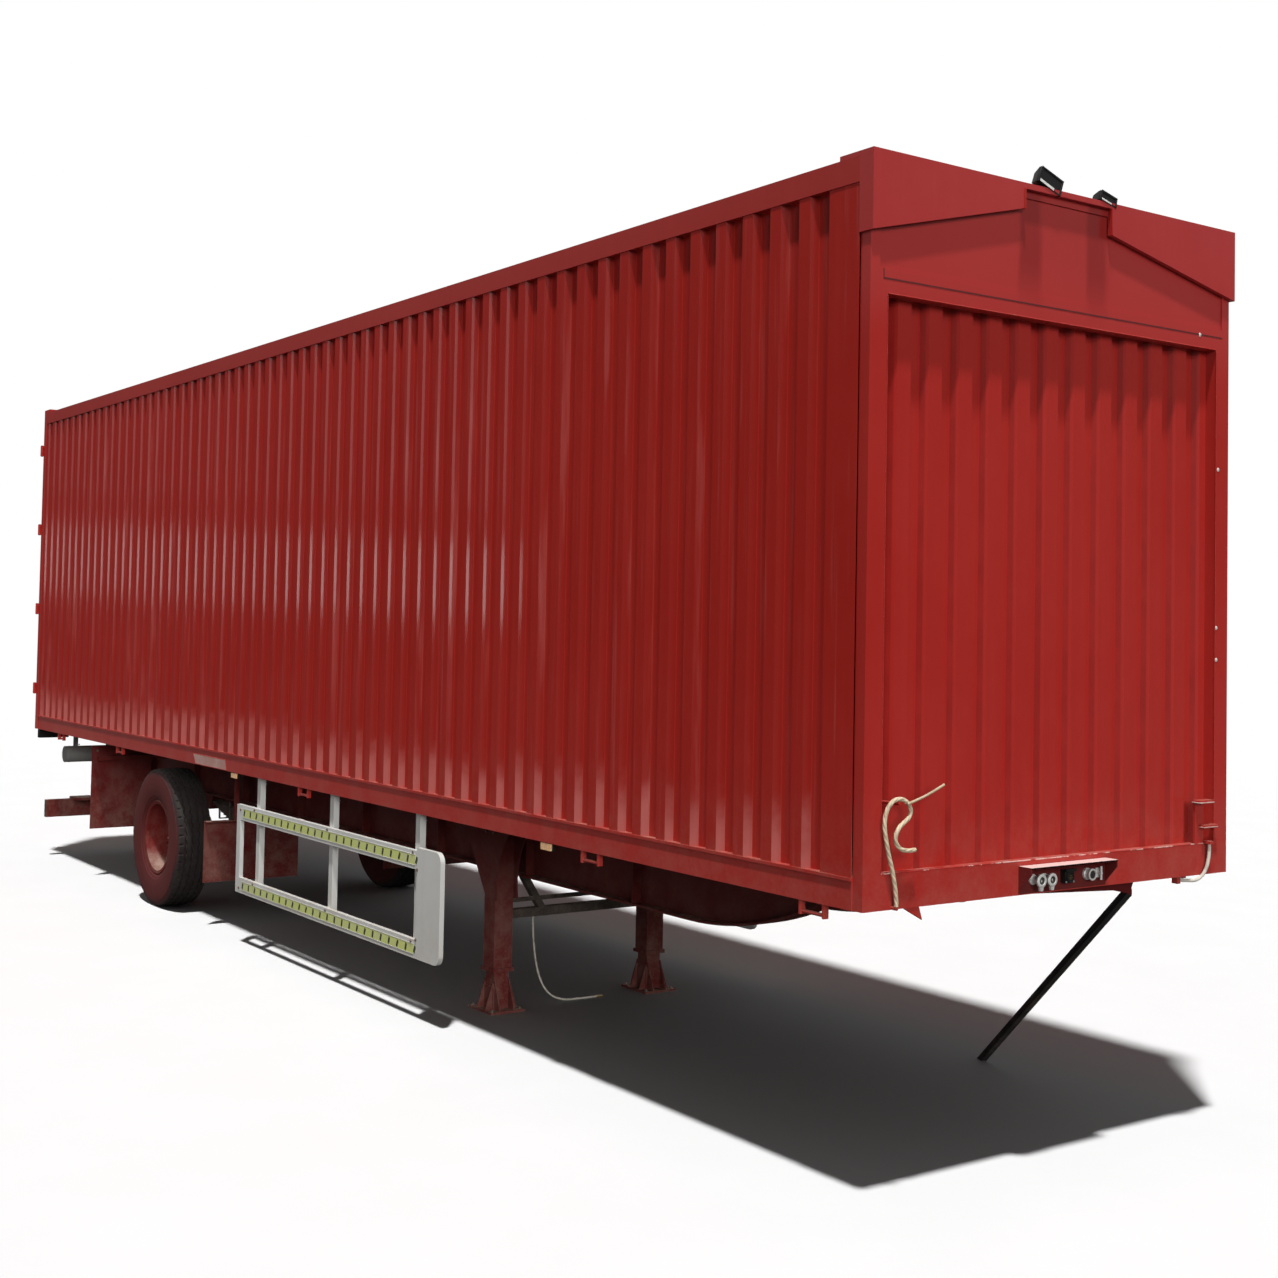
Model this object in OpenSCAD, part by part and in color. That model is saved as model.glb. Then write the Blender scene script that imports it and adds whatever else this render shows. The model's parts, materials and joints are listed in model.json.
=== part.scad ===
// Van semi trailer with a corrugated steel body, one axle and landing legs, parked on its legs.
// Millimetres. +X forward, +Y to the left, +Z up; the ground is z = 0.

/* [Body] */
// Length of the body from the nose wall to the rear frame
body_l = 12000; // [9000:50:13600]
// Width of the body over the bottom rails
body_w = 2440; // [2200:10:2550]
// Height of the roof edge above the ground
roof_z = 4400; // [3600:10:4600]
// Height of the underside of the bottom rails
rail_z = 1250; // [1150:5:1400]
// Height of a bottom rail
rail_h = 135; // [100:5:180]
// Height of a top rail
top_rail_h = 110; // [80:5:160]
// Width of the side rails, across the trailer
rail_w = 60; // [50:1:90]
// Length of the flat wall panel beside the nose
end_flat = 155; // [80:5:300]

/* [Corrugated sheet] */
// Nominal pitch of the side corrugations
side_pitch = 200; // [120:5:320]
// Nominal pitch of the nose wall corrugations
nose_pitch = 188; // [120:2:320]
// Depth of the corrugations
corr_depth = 36; // [20:1:45]
// Thickness of the wall sheet
sheet = 3; // [2:0.5:5]
// Depth of the cross ribs in the roof
roof_rib = 16; // [8:1:24]

/* [Nose] */
// How far the nose frame stands ahead of the nose wall plane
frame_proj = 60; // [40:1:90]
// How far the visor stands ahead of the nose wall plane
visor_proj = 85; // [70:1:130]
// Height of the visor at its outer ends
visor_h = 345; // [250:5:420]
// Width of the nose frame's posts
post_w = 100; // [70:5:150]
// Height of the nose frame's sill
sill_h = 150; // [120:5:200]
// Reach of the connector shelf ahead of the nose frame
shelf_reach = 75; // [60:5:160]

/* [Coupling] */
// Distance of the kingpin behind the nose wall plane
kingpin_back = 570; // [480:5:700]
// Height of the coupler plate's underside
coupler_z = 1160; // [1100:5:1200]
// Radius of the kingpin's neck
kingpin_r = 25.4; // [25.4:0.1:44.5]
// Length of the kingpin's neck
kingpin_neck = 35; // [30:1:50]

/* [Chassis] */
// Distance of each main beam from the centre line
beam_y = 440; // [400:5:520]
// Width of the main beams' flanges
flange_w = 130; // [100:5:150]
// Depth of the main beams behind the gooseneck
beam_h = 430; // [320:5:480]
// Depth of the floor's cross members
cross_h = 95; // [80:1:110]
// Spacing of the floor's cross members
cross_pitch = 410; // [300:10:600]
// Thickness of the floor boards
floor_t = 20; // [18:1:30]

/* [Wheels] */
// Distance of the axle behind the nose wall plane
axle_back = 8550; // [7500:10:9500]
// Outer radius of a tyre
tyre_r = 565; // [500:1:580]
// Width of a tyre
tyre_w = 300; // [260:5:320]
// Distance of a tyre's outer face from the centre line
tyre_face = 1180; // [1100:5:1200]
// Radius of the rim's flange
rim_r = 292; // [250:1:300]
// Radius of the axle's spindle
spindle_r = 45; // [35:1:55]
// Radial clearance of a hub on its spindle
hub_gap = 0.08; // [0.02:0.01:0.1]

/* [Landing legs] */
// Distance of the landing legs behind the nose wall plane
leg_back = 3930; // [3600:10:4300]
// Distance of each leg from the centre line
leg_y = 580; // [560:5:700]
// Side of a leg's outer tube
leg_w = 130; // [110:5:150]
// Side of a leg's inner tube
leg_in = 104; // [80:2:108]
// Height of the outer tube's lower end
leg_low = 240; // [200:5:420]

/* [Side guards] */
// Distance of a guard's front end behind the nose wall plane
guard_front = 3555; // [3400:5:3600]
// Length of a guard
guard_l = 3145; // [2600:5:3300]
// Height of a guard's lower edge
guard_z = 385; // [350:5:450]
// Height of a guard's upper edge
guard_top = 1025; // [900:5:1100]
// Height of each guard rail
guard_rail = 110; // [80:5:120]
// Thickness of a guard
guard_t = 30; // [20:1:40]

/* [Rear] */
// Width of the rear frame's posts
rear_post = 100; // [80:5:130]
// Depth of the rear frame, along the trailer
rear_d = 80; // [60:5:110]
// Thickness of a rear door
door_t = 45; // [35:1:60]
// Gap round a rear door
door_gap = 6; // [5:0.5:10]
// Radius of a door hinge's pin
pin_r = 7; // [5:0.5:9]
// Radial clearance of a door hinge on its pin
pin_gap = 0.08; // [0.02:0.01:0.1]

/* [Hidden] */
$fn = 96;

half_w = body_w / 2;
lip = 8;                              // the bottom rail's raised lip
skin = 4;                             // wall crests behind the rails' outer faces
plate = 8;                            // thickness of rail flanges and small plates
rail_top = rail_z + rail_h;
cross_z = rail_top - plate - floor_t - cross_h;
beam_top = cross_z;
beam_bottom = beam_top - beam_h;
wall_top = roof_z - top_rail_h;
rail_in = half_w - lip - plate;       // inner face of a bottom rail's web
visor_top = roof_z + 20;
lock_reach = 75;                      // how far the door handles stand behind the rear frame
front_end = frame_proj + shelf_reach;
nose_x = (body_l + lock_reach - front_end) / 2;
axle_x = -axle_back;
leg_x = -leg_back;
seat_gap = 0.3;                       // between curved faces that only rest together

// routes of the rope and the hoses, and their diameters
rope_d = 20;
rope_top = 1711;
rope_pts = [[86, -1040, 1266], [86, -1041, 1290], [89, -1052, 1350], [90, -1070, 1420], [90, -1089, 1480],
    [90, -1105, 1540], [90, -1114, 1590], [90, -1113, 1635], [91, -1100, 1673], [92, -1074, 1701], [92, -1042, rope_top],
    [92, -1010, 1706], [92, -984, 1689], [93, -971, 1666], [95, -976, 1642], [98, -996, 1624], [101, -1022, 1610], [103, -1046, 1593],
    [104, -1062, 1570], [104, -1066, 1545], [104, -1055, 1521], [103, -1033, 1505], [102, -1006, 1498], [101, -978, 1496], [100, -950, 1497]];
hose_d = 18;
hose_pts = [[85, 1040, 1400], [85, 1040, 1372], [84, 1036, 1330], [82, 1026, 1292], [79, 1008, 1262], [74, 984, 1240],
    [66, 956, 1228], [50, 936, 1226], [34, 919, 1226], [24, 900, 1226], [24, 880, 1226]];
leg_hose_d = 14;
leg_hose_pts = [[-3925, -330, 555], [-3925, -330, 520], [-3924, -328, 470], [-3923, -324, 410], [-3921, -318, 350],
    [-3919, -310, 290], [-3917, -298, 230], [-3915, -282, 175], [-3912, -260, 125], [-3909, -232, 82], [-3905, -198, 50],
    [-3901, -160, 28], [-3897, -120, 15], [-3893, -78, 9], [-3889, -36, 8], [-3885, 6, 8], [-3881, 48, 8], [-3878, 90, 8], [-3878, 130, 8]];
hose_end = leg_hose_pts[len(leg_hose_pts) - 1];

body_red = "firebrick";
dark_red = "darkred";

// a flat outline in X and Z, given thickness w along Y from y0
module xz(y0, w) { translate([0, y0 + w, 0]) rotate([90, 0, 0]) linear_extrude(w) children(); }
// a flat outline in Y and Z, given thickness w along X from x0
module yz(x0, w) { translate([x0, 0, 0]) rotate([90, 0, 90]) linear_extrude(w) children(); }
// a flat outline in X and Y, given height h from z0
module xy(z0, h) { translate([0, 0, z0]) linear_extrude(h) children(); }
// a block from its lowest corner to its highest corner
module block(a, b) { translate(a) cube(b - a); }
// round bars along each axis from a point
module bar_x(p, l, r) { translate(p) rotate([0, 90, 0]) cylinder(h = l, r = r); }
module bar_y(p, l, r) { translate(p) rotate([-90, 0, 0]) cylinder(h = l, r = r); }
module bar_z(p, l, r) { translate(p) cylinder(h = l, r = r); }
module left() { children(); }
module right() { mirror([0, 1, 0]) children(); }
module both() { children(); mirror([0, 1, 0]) children(); }
module placed() { translate([nose_x, 0, 0]) children(); }

// crest line of a corrugated sheet: n waves from s = 0 to s = length; the crest is at 0
function waves(n, length, depth, crest) = let (p = length / n, slope = depth * 0.6)
    [for (i = [0 : n - 1]) each [[i * p + crest / 2, 0], [i * p + crest / 2 + slope, -depth],
        [(i + 1) * p - crest / 2 - slope, -depth], [(i + 1) * p - crest / 2, 0]]];
function sheet_outline(line, t) = concat(line, [for (i = [len(line) - 1 : -1 : 0]) line[i] - [0, t]]);
function arc(c, r, a0, a1, n) = [for (i = [0 : n]) c + r * [cos(a0 + (a1 - a0) * i / n), sin(a0 + (a1 - a0) * i / n)]];

// ---- chassis ----
goose_x = -800;                       // where the deep beam meets the shallow gooseneck
goose_end = -2050;
goose_top = coupler_z + 12;           // underside of the gooseneck, on the coupler plate
rise = goose_top - beam_bottom;
run = goose_x - goose_end;
goose_r = (run * run + rise * rise) / (2 * rise);
goose_a = asin(run / goose_r);
beam_front = -345;
beam_rear = -body_l + rear_d;
flange_t = 12;
// underside of a main beam from the rear to the nose, raised by t
function beam_line(t) = concat([[beam_rear, beam_bottom + t]],
    arc([goose_end, beam_bottom + goose_r], goose_r - t, -90, -90 + goose_a, 16),
    [[beam_front, goose_top + t]]);

module main_beam() color(dark_red) {
    xz(beam_y - 4, 8) polygon(concat(beam_line(0), [[beam_front, beam_top], [beam_rear, beam_top]]));
    xz(beam_y - flange_w / 2, flange_w) {
        polygon(concat(beam_line(0), [for (i = [len(beam_line(0)) - 1 : -1 : 0]) beam_line(flange_t)[i]]));
        polygon([[beam_rear, beam_top - flange_t], [beam_front, beam_top - flange_t], [beam_front, beam_top], [beam_rear, beam_top]]);
    }
    for (x = [-2600 : -1150 : -body_l + 500])
        block([x, beam_y - flange_w / 2 + 5, beam_bottom + flange_t], [x + 10, beam_y + flange_w / 2 - 5, beam_top - flange_t]);
}

cross_n = floor((body_l - rear_d - 200) / cross_pitch);
function cross_x(i) = -60 - i * (body_l - rear_d - 130) / cross_n;
module cross_members() color(dark_red)
    for (i = [0 : cross_n])
        translate([cross_x(i), -rail_in, cross_z]) rotate([-90, 0, 0])
            linear_extrude(2 * rail_in)
                polygon([[0, 0], [0, -cross_h], [-50, -cross_h], [-50, -cross_h + 6], [-6, -cross_h + 6],
                    [-6, -6], [-50, -6], [-50, 0]]);

module floor_boards() color("peru")
    block([-body_l + rear_d, -rail_in, cross_z + cross_h], [-corr_depth - sheet - 10, rail_in, cross_z + cross_h + floor_t]);

plate_front = -340;
module coupler_plate() color(dark_red) {
    difference() {
        block([goose_x, -470, coupler_z], [plate_front, 470, goose_top]);
        bar_z([-kingpin_back, 0, coupler_z - 1], 20, kingpin_r);
    }
    translate([-kingpin_back, 0, coupler_z]) {
        translate([0, 0, -kingpin_neck - 14]) cylinder(h = 14, r = kingpin_r + 10);
        translate([0, 0, -kingpin_neck]) cylinder(h = kingpin_neck + 12, r = kingpin_r);
    }
    for (x = [plate_front - 60, goose_x + 40])
        block([x, -beam_y + flange_w / 2, goose_top], [x + 40, beam_y - flange_w / 2, beam_top]);
}

// ---- body ----
module bottom_rail() color(body_red) {
    yz(-body_l + rear_d, body_l - rear_d) polygon([
        [half_w - rail_w, rail_z], [half_w - lip, rail_z], [half_w - lip, rail_top - 14], [half_w, rail_top - 14],
        [half_w, rail_top], [half_w - rail_w, rail_top], [half_w - rail_w, rail_top - plate],
        [rail_in, rail_top - plate], [rail_in, rail_z + plate], [half_w - rail_w, rail_z + plate]]);
    // lashing hook brackets under the rail, one near the nose
    for (x = [-337, -2050, -body_l * 0.467, -body_l * 0.792, -body_l + 750]) {
        block([x, half_w - 40, rail_z - 62], [x + 12, half_w - 12, rail_z]);
        block([x + 150, half_w - 40, rail_z - 62], [x + 162, half_w - 12, rail_z]);
        bar_x([x, half_w - 26, rail_z - 48], 162, 9);
    }
}

wall_y = half_w - skin;
corr_n = round((body_l - rear_d - 30 - end_flat) / side_pitch);
corr_l = body_l - rear_d - 30 - end_flat;
module side_wall() color(body_red)
    xy(rail_top, wall_top - rail_top) translate([-end_flat - corr_l, wall_y])
        polygon(sheet_outline(concat([[-30, 0]], waves(corr_n, corr_l, corr_depth, 74), [[corr_l + end_flat, 0]]), sheet));

module top_rail() color(body_red)
    yz(-body_l + rear_d, body_l - rear_d) difference() {
        translate([half_w - rail_w, wall_top]) square([rail_w, top_rail_h]);
        translate([half_w - rail_w + 5, wall_top + 5]) square([rail_w - 10, top_rail_h - 10]);
    }

roof_n = round((body_l - rear_d - 60) / (2 * side_pitch));
module roof_panel() color(body_red) {
    roof_l = body_l - rear_d - 60;
    xz(-half_w + rail_w, body_w - 2 * rail_w) translate([-60 - roof_l, roof_z - 6])
        polygon(sheet_outline(concat([[0, 0]], waves(roof_n, roof_l, roof_rib, 2 * side_pitch - 110), [[roof_l, 0]]), sheet));
}

// ---- nose ----
frame_y = half_w - 13;
open_y = frame_y - post_w;            // half width of the recess in the nose frame
sill_top = rail_z + sill_h;
lintel_z = roof_z - 580;
panel_z = lintel_z + 105;
panel_x = frame_proj - 8;
module nose_frame() color(body_red) {
    yz(0, frame_proj) difference() {
        translate([-frame_y, rail_z]) square([2 * frame_y, roof_z - rail_z]);
        translate([-open_y, sill_top]) square([2 * open_y, lintel_z - sill_top]);
        translate([-open_y - 45, panel_z]) square([2 * open_y + 90, roof_z - panel_z - 40]);
    }
    yz(panel_x - 10, 10) translate([-open_y - 45, panel_z]) square([2 * open_y + 90, roof_z - panel_z - 40]);
    // header beam between the side walls, behind the panel
    block([-corr_depth - sheet - 8, -half_w + rail_w, wall_top], [0, half_w - rail_w, roof_z - 24]);
    // small bracket under the sill, and an upright flat with two rungs on the sill
    yz(frame_proj - 14, 10) polygon([[-970, rail_z], [-880, rail_z], [-860, rail_z - 58]]);
    block([frame_proj - 14, 965, sill_top - 5], [frame_proj - 2, 1030, sill_top + 200]);
    block([frame_proj - 14, 958, sill_top + 200], [frame_proj + 34, 1062, sill_top + 212]);
    block([frame_proj - 14, 995, sill_top + 80], [frame_proj + 30, open_y, sill_top + 92]);
    // eye that holds the rope, clip and gland that hold the hose
    bar_x([frame_proj, rope_pts[0][1], rail_z + 8], 30, 8);
    block([frame_proj - 6, hose_pts[0][1] - 15, sill_top - 5], [frame_proj, hose_pts[0][1] + 15, hose_pts[0][2] + 14]);
    block([frame_proj, hose_pts[0][1] - 15, hose_pts[0][2]], [frame_proj + 40, hose_pts[0][1] + 15, hose_pts[0][2] + 14]);
    block([8, 856, 1214], [40, 880, rail_z]);
}

nose_l = 2 * open_y + 24;
nose_n = round(nose_l / nose_pitch);
peg_r = 7;
peg = [-corr_depth, -1042, rope_top - rope_d / 2 - peg_r - 2.5];
module nose_wall() color(body_red) {
    xy(sill_top - 60, lintel_z - sill_top + 120) rotate(90) mirror([0, 1, 0]) translate([-open_y - 30, 0])
        polygon(sheet_outline(concat(waves(nose_n, nose_l, corr_depth, 80), [[nose_l + 30, 0]]), sheet));
    // peg that the rope hangs on
    bar_x(peg - [1, 0, 0], corr_depth + 106, peg_r);
}

module nose_visor() color(body_red) {
    yz(panel_x + 8, visor_proj - panel_x - 8) polygon([
        [-half_w, visor_top - visor_h], [-305, visor_top - 116], [-305, visor_top - 26], [286, visor_top - 26],
        [286, visor_top - 149], [half_w, visor_top - visor_h], [half_w, visor_top], [-half_w, visor_top]]);
    block([-125, -half_w, roof_z], [frame_proj, half_w, visor_top]);
    for (y = [-half_w, frame_y])
        block([0, y, visor_top - visor_h], [frame_proj, y + half_w - frame_y, roof_z]);
}

box_y0 = -277;
box_y1 = 300;
module connector_box() color(dark_red) {
    // back plate, hood and slanted end cheeks
    block([frame_proj, box_y0, rail_z + 6], [frame_proj + 6, box_y1, rail_z + 128]);
    block([frame_proj + 6, box_y0, rail_z + 120], [frame_proj + shelf_reach, box_y1, rail_z + 128]);
    for (y = [box_y0, box_y1 - 6])
        xz(y, 6) polygon([[frame_proj + 6, rail_z + 20], [frame_proj + shelf_reach, rail_z + 98],
            [frame_proj + shelf_reach, rail_z + 120], [frame_proj + 6, rail_z + 120]]);
}

module air_couplings() {
    x = frame_proj + 6;
    color("silver") for (y = [-195, -125]) {
        bar_x([x, y, rail_z + 66], 46, 15);
        bar_x([x + 46, y, rail_z + 66], 14, 30);
    }
    color("dimgray") {
        block([x, -10, rail_z + 38], [x + 34, 50, rail_z + 96]);
        block([x + 34, -16, rail_z + 90], [x + 42, 56, rail_z + 102]);
    }
    color("gray") bar_x([x, 165, rail_z + 66], 40, 27);
}

module flood_lamp(y, w, h, tilt) {
    color("black") translate([30, y, visor_top]) {
        block([-25, -14, 0], [25, 14, 6]);
        block([-8, -8, 6], [8, 8, 22]);
        translate([0, 0, 20 + h / 2]) rotate([0, tilt, 0])
            translate([-22, -w / 2, -h / 2]) xz(0, w) polygon([[0, 12], [44, 0], [44, h], [0, h - 12]]);
    }
}
module top_lamps() {
    flood_lamp(-165, 165, 84, 18);
    flood_lamp(235, 130, 58, 12);
}

// ---- rear ----
door_z0 = rail_top + door_gap;
door_z1 = wall_top - door_gap;
door_y1 = half_w - rear_post - door_gap;
door_x = -body_l + 5;
hinge_x = -body_l - 25;
hinge_y = half_w + 8;
knuckle_r = 16;
knuckle_h = 60;
hinge_z = [for (i = [0 : 3]) door_z0 + 260 + i * (door_z1 - door_z0 - 520) / 3];
bar_ys = [330, 820];                  // lock bars, from the hinge pin
module rear_frame() color(body_red) {
    yz(-body_l, rear_d) difference() {
        translate([-half_w, rail_z]) square([body_w, roof_z - rail_z]);
        translate([-half_w + rear_post, rail_top]) square([body_w - 2 * rear_post, wall_top - rail_top]);
    }
    // stop inside the header and the sill, corner blocks on the roof
    for (z = [rail_top, wall_top - 30])
        block([door_x + door_t + door_gap, -half_w + rear_post, z], [-body_l + rear_d, half_w - rear_post, z + (z == rail_top ? 6 : 30)]);
    both() {
        block([-body_l, half_w - 162, roof_z], [-body_l + 178, half_w, roof_z + 28]);
        for (z = hinge_z, s = [-1, 1]) translate([0, 0, z + s * (knuckle_h / 2 + 1 + 10)]) {
            bar_z([hinge_x, hinge_y, -10], 20, knuckle_r);
            block([hinge_x, half_w - 30, -10], [-body_l, hinge_y, 10]);
        }
        for (z = hinge_z) bar_z([hinge_x, hinge_y, z - knuckle_h / 2 - 1], knuckle_h + 2, pin_r);
        // side plates of the keepers that the lock bars' cams lie between
        for (y = bar_ys, z = [rail_z + 52, wall_top + 58], s = [-1, 1])
            block([-body_l - 34, hinge_y - y + s * 38 - 5, z - 18], [-body_l, hinge_y - y + s * 38 + 5, z + 18]);
    }
}

// one rear door, on the +Y side
module rear_door() color(body_red) {
    y0 = 5;
    rim = 70;
    difference() {
        block([door_x, y0, door_z0], [door_x + door_t, door_y1, door_z1]);
        block([door_x - 1, y0 + rim, door_z0 + rim], [door_x + door_t + 1, door_y1 - rim, door_z1 - rim]);
    }
    // ribbed panel inside the rim
    panel_w = door_y1 - y0 - 2 * rim;
    door_n = round(panel_w / 300);
    xy(door_z0 + rim, door_z1 - door_z0 - 2 * rim) translate([door_x + 8, y0 + rim]) rotate(90)
        polygon(sheet_outline(concat([[0, 0]], waves(door_n, panel_w, 24, 150), [[panel_w, 0]]), 4));
    for (z = hinge_z) {
        difference() {
            union() {
                bar_z([hinge_x, hinge_y, z - knuckle_h / 2], knuckle_h, knuckle_r);
                block([-body_l - 12, door_y1 - 150, z - 26], [-body_l - 6, hinge_y - 3, z + 26]);
                block([-body_l - 12, door_y1 - 150, z - 26], [door_x, door_y1 - 10, z + 26]);
            }
            bar_z([hinge_x, hinge_y, z - knuckle_h], 2 * knuckle_h, pin_r + pin_gap);
        }
    }
}

// the two lock bars on one door, with guides, cams and handles
bar_x0 = door_x - 28;                 // axis of the lock bars
module lock_bars() color("gainsboro") {
    for (d = bar_ys) {
        y = hinge_y - d;
        bar_z([bar_x0, y, rail_z + 34], wall_top + 76 - rail_z - 34, 14);
        for (z = [rail_z + 52, wall_top + 58])
            block([bar_x0 - 8, y - 26, z - 12], [bar_x0 + 8, y + 26, z + 12]);
        for (z = [door_z0 + 35, door_z0 + 820, door_z1 - 820, door_z1 - 35])
            difference() {
                block([bar_x0 - 20, y - 34, z - 24], [door_x, y + 34, z + 24]);
                bar_z([bar_x0, y, z - 25], 50, 14 + seat_gap);
            }
        // handle: a flat bar hinged on the lock bar, lying across the door
        hz = door_z0 + 520 + (d == bar_ys[0] ? 0 : 140);
        bar_z([bar_x0, y, hz - 30], 60, 20);
        block([-body_l - lock_reach + 22, y + 6, hz - 14], [-body_l - lock_reach + 32, y + 230, hz + 14]);
        block([-body_l - lock_reach + 22, y - 14, hz - 14], [bar_x0, y + 12, hz + 14]);
        block([-body_l - lock_reach, y + 180, hz - 8], [-body_l - lock_reach + 22, y + 226, hz + 8]);
        block([-body_l - lock_reach + 32, y + 196, hz - 22], [door_x, y + 206, hz + 22]);
    }
}

bumper_z = 385;
module rear_bumper() color(dark_red) {
    x = -body_l + 200;
    block([x - 60, -1140, bumper_z], [x, 1140, bumper_z + 170]);
    both() {
        block([x - 50, beam_y - 40, bumper_z + 170], [x - 10, beam_y + 40, beam_bottom]);
        xz(beam_y - 6, 12) polygon([[x - 10, bumper_z + 190], [x + 330, beam_bottom], [x - 10, beam_bottom]]);
        block([x - 50, 700, bumper_z + 170], [x + 180, 900, bumper_z + 194]);
    }
}

module rear_lamps() both() {
    color("black") block([-body_l - 4, 900, rail_z - 92], [-body_l + 60, 1190, rail_z]);
    color("red") block([-body_l - 22, 912, rail_z - 82], [-body_l - 4, 1040, rail_z - 12]);
    color("orange") block([-body_l - 22, 1046, rail_z - 82], [-body_l - 4, 1178, rail_z - 12]);
}

// mud plates: a tall flap behind each wheel and a low plate ahead of it
flap_back = 1746;
flap_ahead = 1102;
module mud_plates() color(dark_red) both() {
    back = axle_x - flap_back;
    block([back - plate, 620, 440], [back, 1170, beam_top - 70]);
    block([back, 620, 1060], [back + 40, 1120, 1100]);
    block([back, beam_y + 4, 1066], [back + 34, 620, 1094]);
    ahead = axle_x + flap_ahead;
    block([ahead - plate, 380, 340], [ahead, 1165, 815]);
    block([ahead, 380, 815 - plate], [ahead + 48, 1165, 815]);
    block([ahead - 52, beam_y - 25, 760], [ahead - plate, beam_y + 25, beam_bottom]);
    block([ahead, 900, 815], [ahead + 28, 930, cross_z]);
}

tank_x = cross_x(cross_n - 1) - 25;
tank_z = 1030;
tank_r = 78;
module air_tank() both() {
    color("gray") {
        bar_y([tank_x, 560, tank_z], 520, tank_r);
    }
    color("dimgray") for (y = [640, 960])
        difference() {
            block([tank_x - 30, y, tank_z], [tank_x + 30, y + 30, cross_z]);
            bar_y([tank_x, y - 1, tank_z], 32, tank_r + seat_gap);
        }
}

module side_markers() both() for (x = [-body_l * 0.199, -body_l * 0.564])
    color("orange") block([x - 55, rail_in - 26, rail_z - 46], [x + 55, half_w - lip - 2, rail_z]);

// ---- landing legs ----
leg_top = cross_z - 4;
leg_gap = 0.5;                        // clearance of the inner tube in the outer tube
module gusset(y, t) xz(y, t) polygon(concat(
    [[leg_x - 400, leg_top - 30], [leg_x - 330, leg_top - 110], [leg_x - 40, 700], [leg_x + 66, 690]],
    arc([leg_x + 560, 790], 460, 192, 128, 10),
    [[leg_x + 420, leg_top - 30]]));
module landing_leg() color(dark_red) {
    difference() {
        block([leg_x - leg_w / 2, leg_y - leg_w / 2, leg_low], [leg_x + leg_w / 2, leg_y + leg_w / 2, leg_top]);
        block([leg_x - leg_in / 2 - leg_gap, leg_y - leg_in / 2 - leg_gap, leg_low - 1],
            [leg_x + leg_in / 2 + leg_gap, leg_y + leg_in / 2 + leg_gap, leg_top - 60]);
    }
    // collar round the lower end
    difference() {
        block([leg_x - leg_w / 2 - 10, leg_y - leg_w / 2 - 10, leg_low], [leg_x + leg_w / 2 + 10, leg_y + leg_w / 2 + 10, leg_low + 22]);
        block([leg_x - leg_w / 2, leg_y - leg_w / 2, leg_low - 1], [leg_x + leg_w / 2, leg_y + leg_w / 2, leg_low + 30]);
    }
    gusset(beam_y + flange_w / 2, leg_y - leg_w / 2 - beam_y - flange_w / 2);
    gusset(leg_y + leg_w / 2, 10);
}

module landing_foot() color(dark_red) {
    block([leg_x - leg_in / 2, leg_y - leg_in / 2, 60], [leg_x + leg_in / 2, leg_y + leg_in / 2, leg_top - 460]);
    // sand shoe: base plate, socket and four gussets
    block([leg_x - 140, leg_y - 120, 0], [leg_x + 140, leg_y + 120, 14]);
    block([leg_x - 62, leg_y - 62, 14], [leg_x + 62, leg_y + 62, 150]);
    for (s = [-1, 1]) {
        xz(leg_y + s * 50 - 4, 8) polygon([[leg_x - 132, 14], [leg_x - 62, 190], [leg_x + 62, 190], [leg_x + 132, 14]]);
        yz(leg_x + s * 50 - 4, 8) polygon([[leg_y - 112, 14], [leg_y - 62, 170], [leg_y + 62, 170], [leg_y + 112, 14]]);
    }
}

brace_z = 555;
module leg_brace() color("dimgray") {
    in_y = leg_y - leg_w / 2;
    block([leg_x - 28, -in_y, brace_z], [leg_x + 28, in_y, brace_z + 55]);
    bar_y([leg_x + 10, -in_y, brace_z + 112], 2 * in_y, 14);
    // slanted stays from the cross bar up to the beams
    for (s = [-1, 1])
        yz(leg_x - 25, 50) polygon([[s * 250, brace_z + 55], [s * 300, brace_z + 55], [s * 440, beam_bottom], [s * 390, beam_bottom]]);
}

// ---- side guards ----
guard_y = half_w - 20;                // outer face
guard_post = 66;
guard_upright = 56;
guard_rear = guard_front + guard_l;
module side_guard() color("white") {
    y0 = guard_y - guard_t;
    block([-guard_rear, y0, guard_top - guard_rail], [-guard_front - 300, guard_y, guard_top]);
    block([-guard_rear, y0, guard_z], [-guard_front - 300, guard_y, guard_z + guard_rail]);
    block([-guard_rear, y0, guard_z + guard_rail], [-guard_rear + guard_post, guard_y, guard_top - guard_rail]);
    // rounded front plate
    xz(y0, guard_t) translate([-guard_front - 300, guard_z]) hull() {
        square([200, guard_top - guard_z + 20]);
        translate([240, 60]) circle(r = 60, $fn = 32);
        translate([240, guard_top - guard_z - 40]) circle(r = 60, $fn = 32);
    }
    // posts behind the rails, up to the bottom rail
    for (x = [-guard_rear + 330, -guard_front - guard_l / 2, -guard_front - 350])
        block([x - guard_upright / 2, y0 - 40, guard_z + 10], [x + guard_upright / 2, y0, rail_z]);
}

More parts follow.
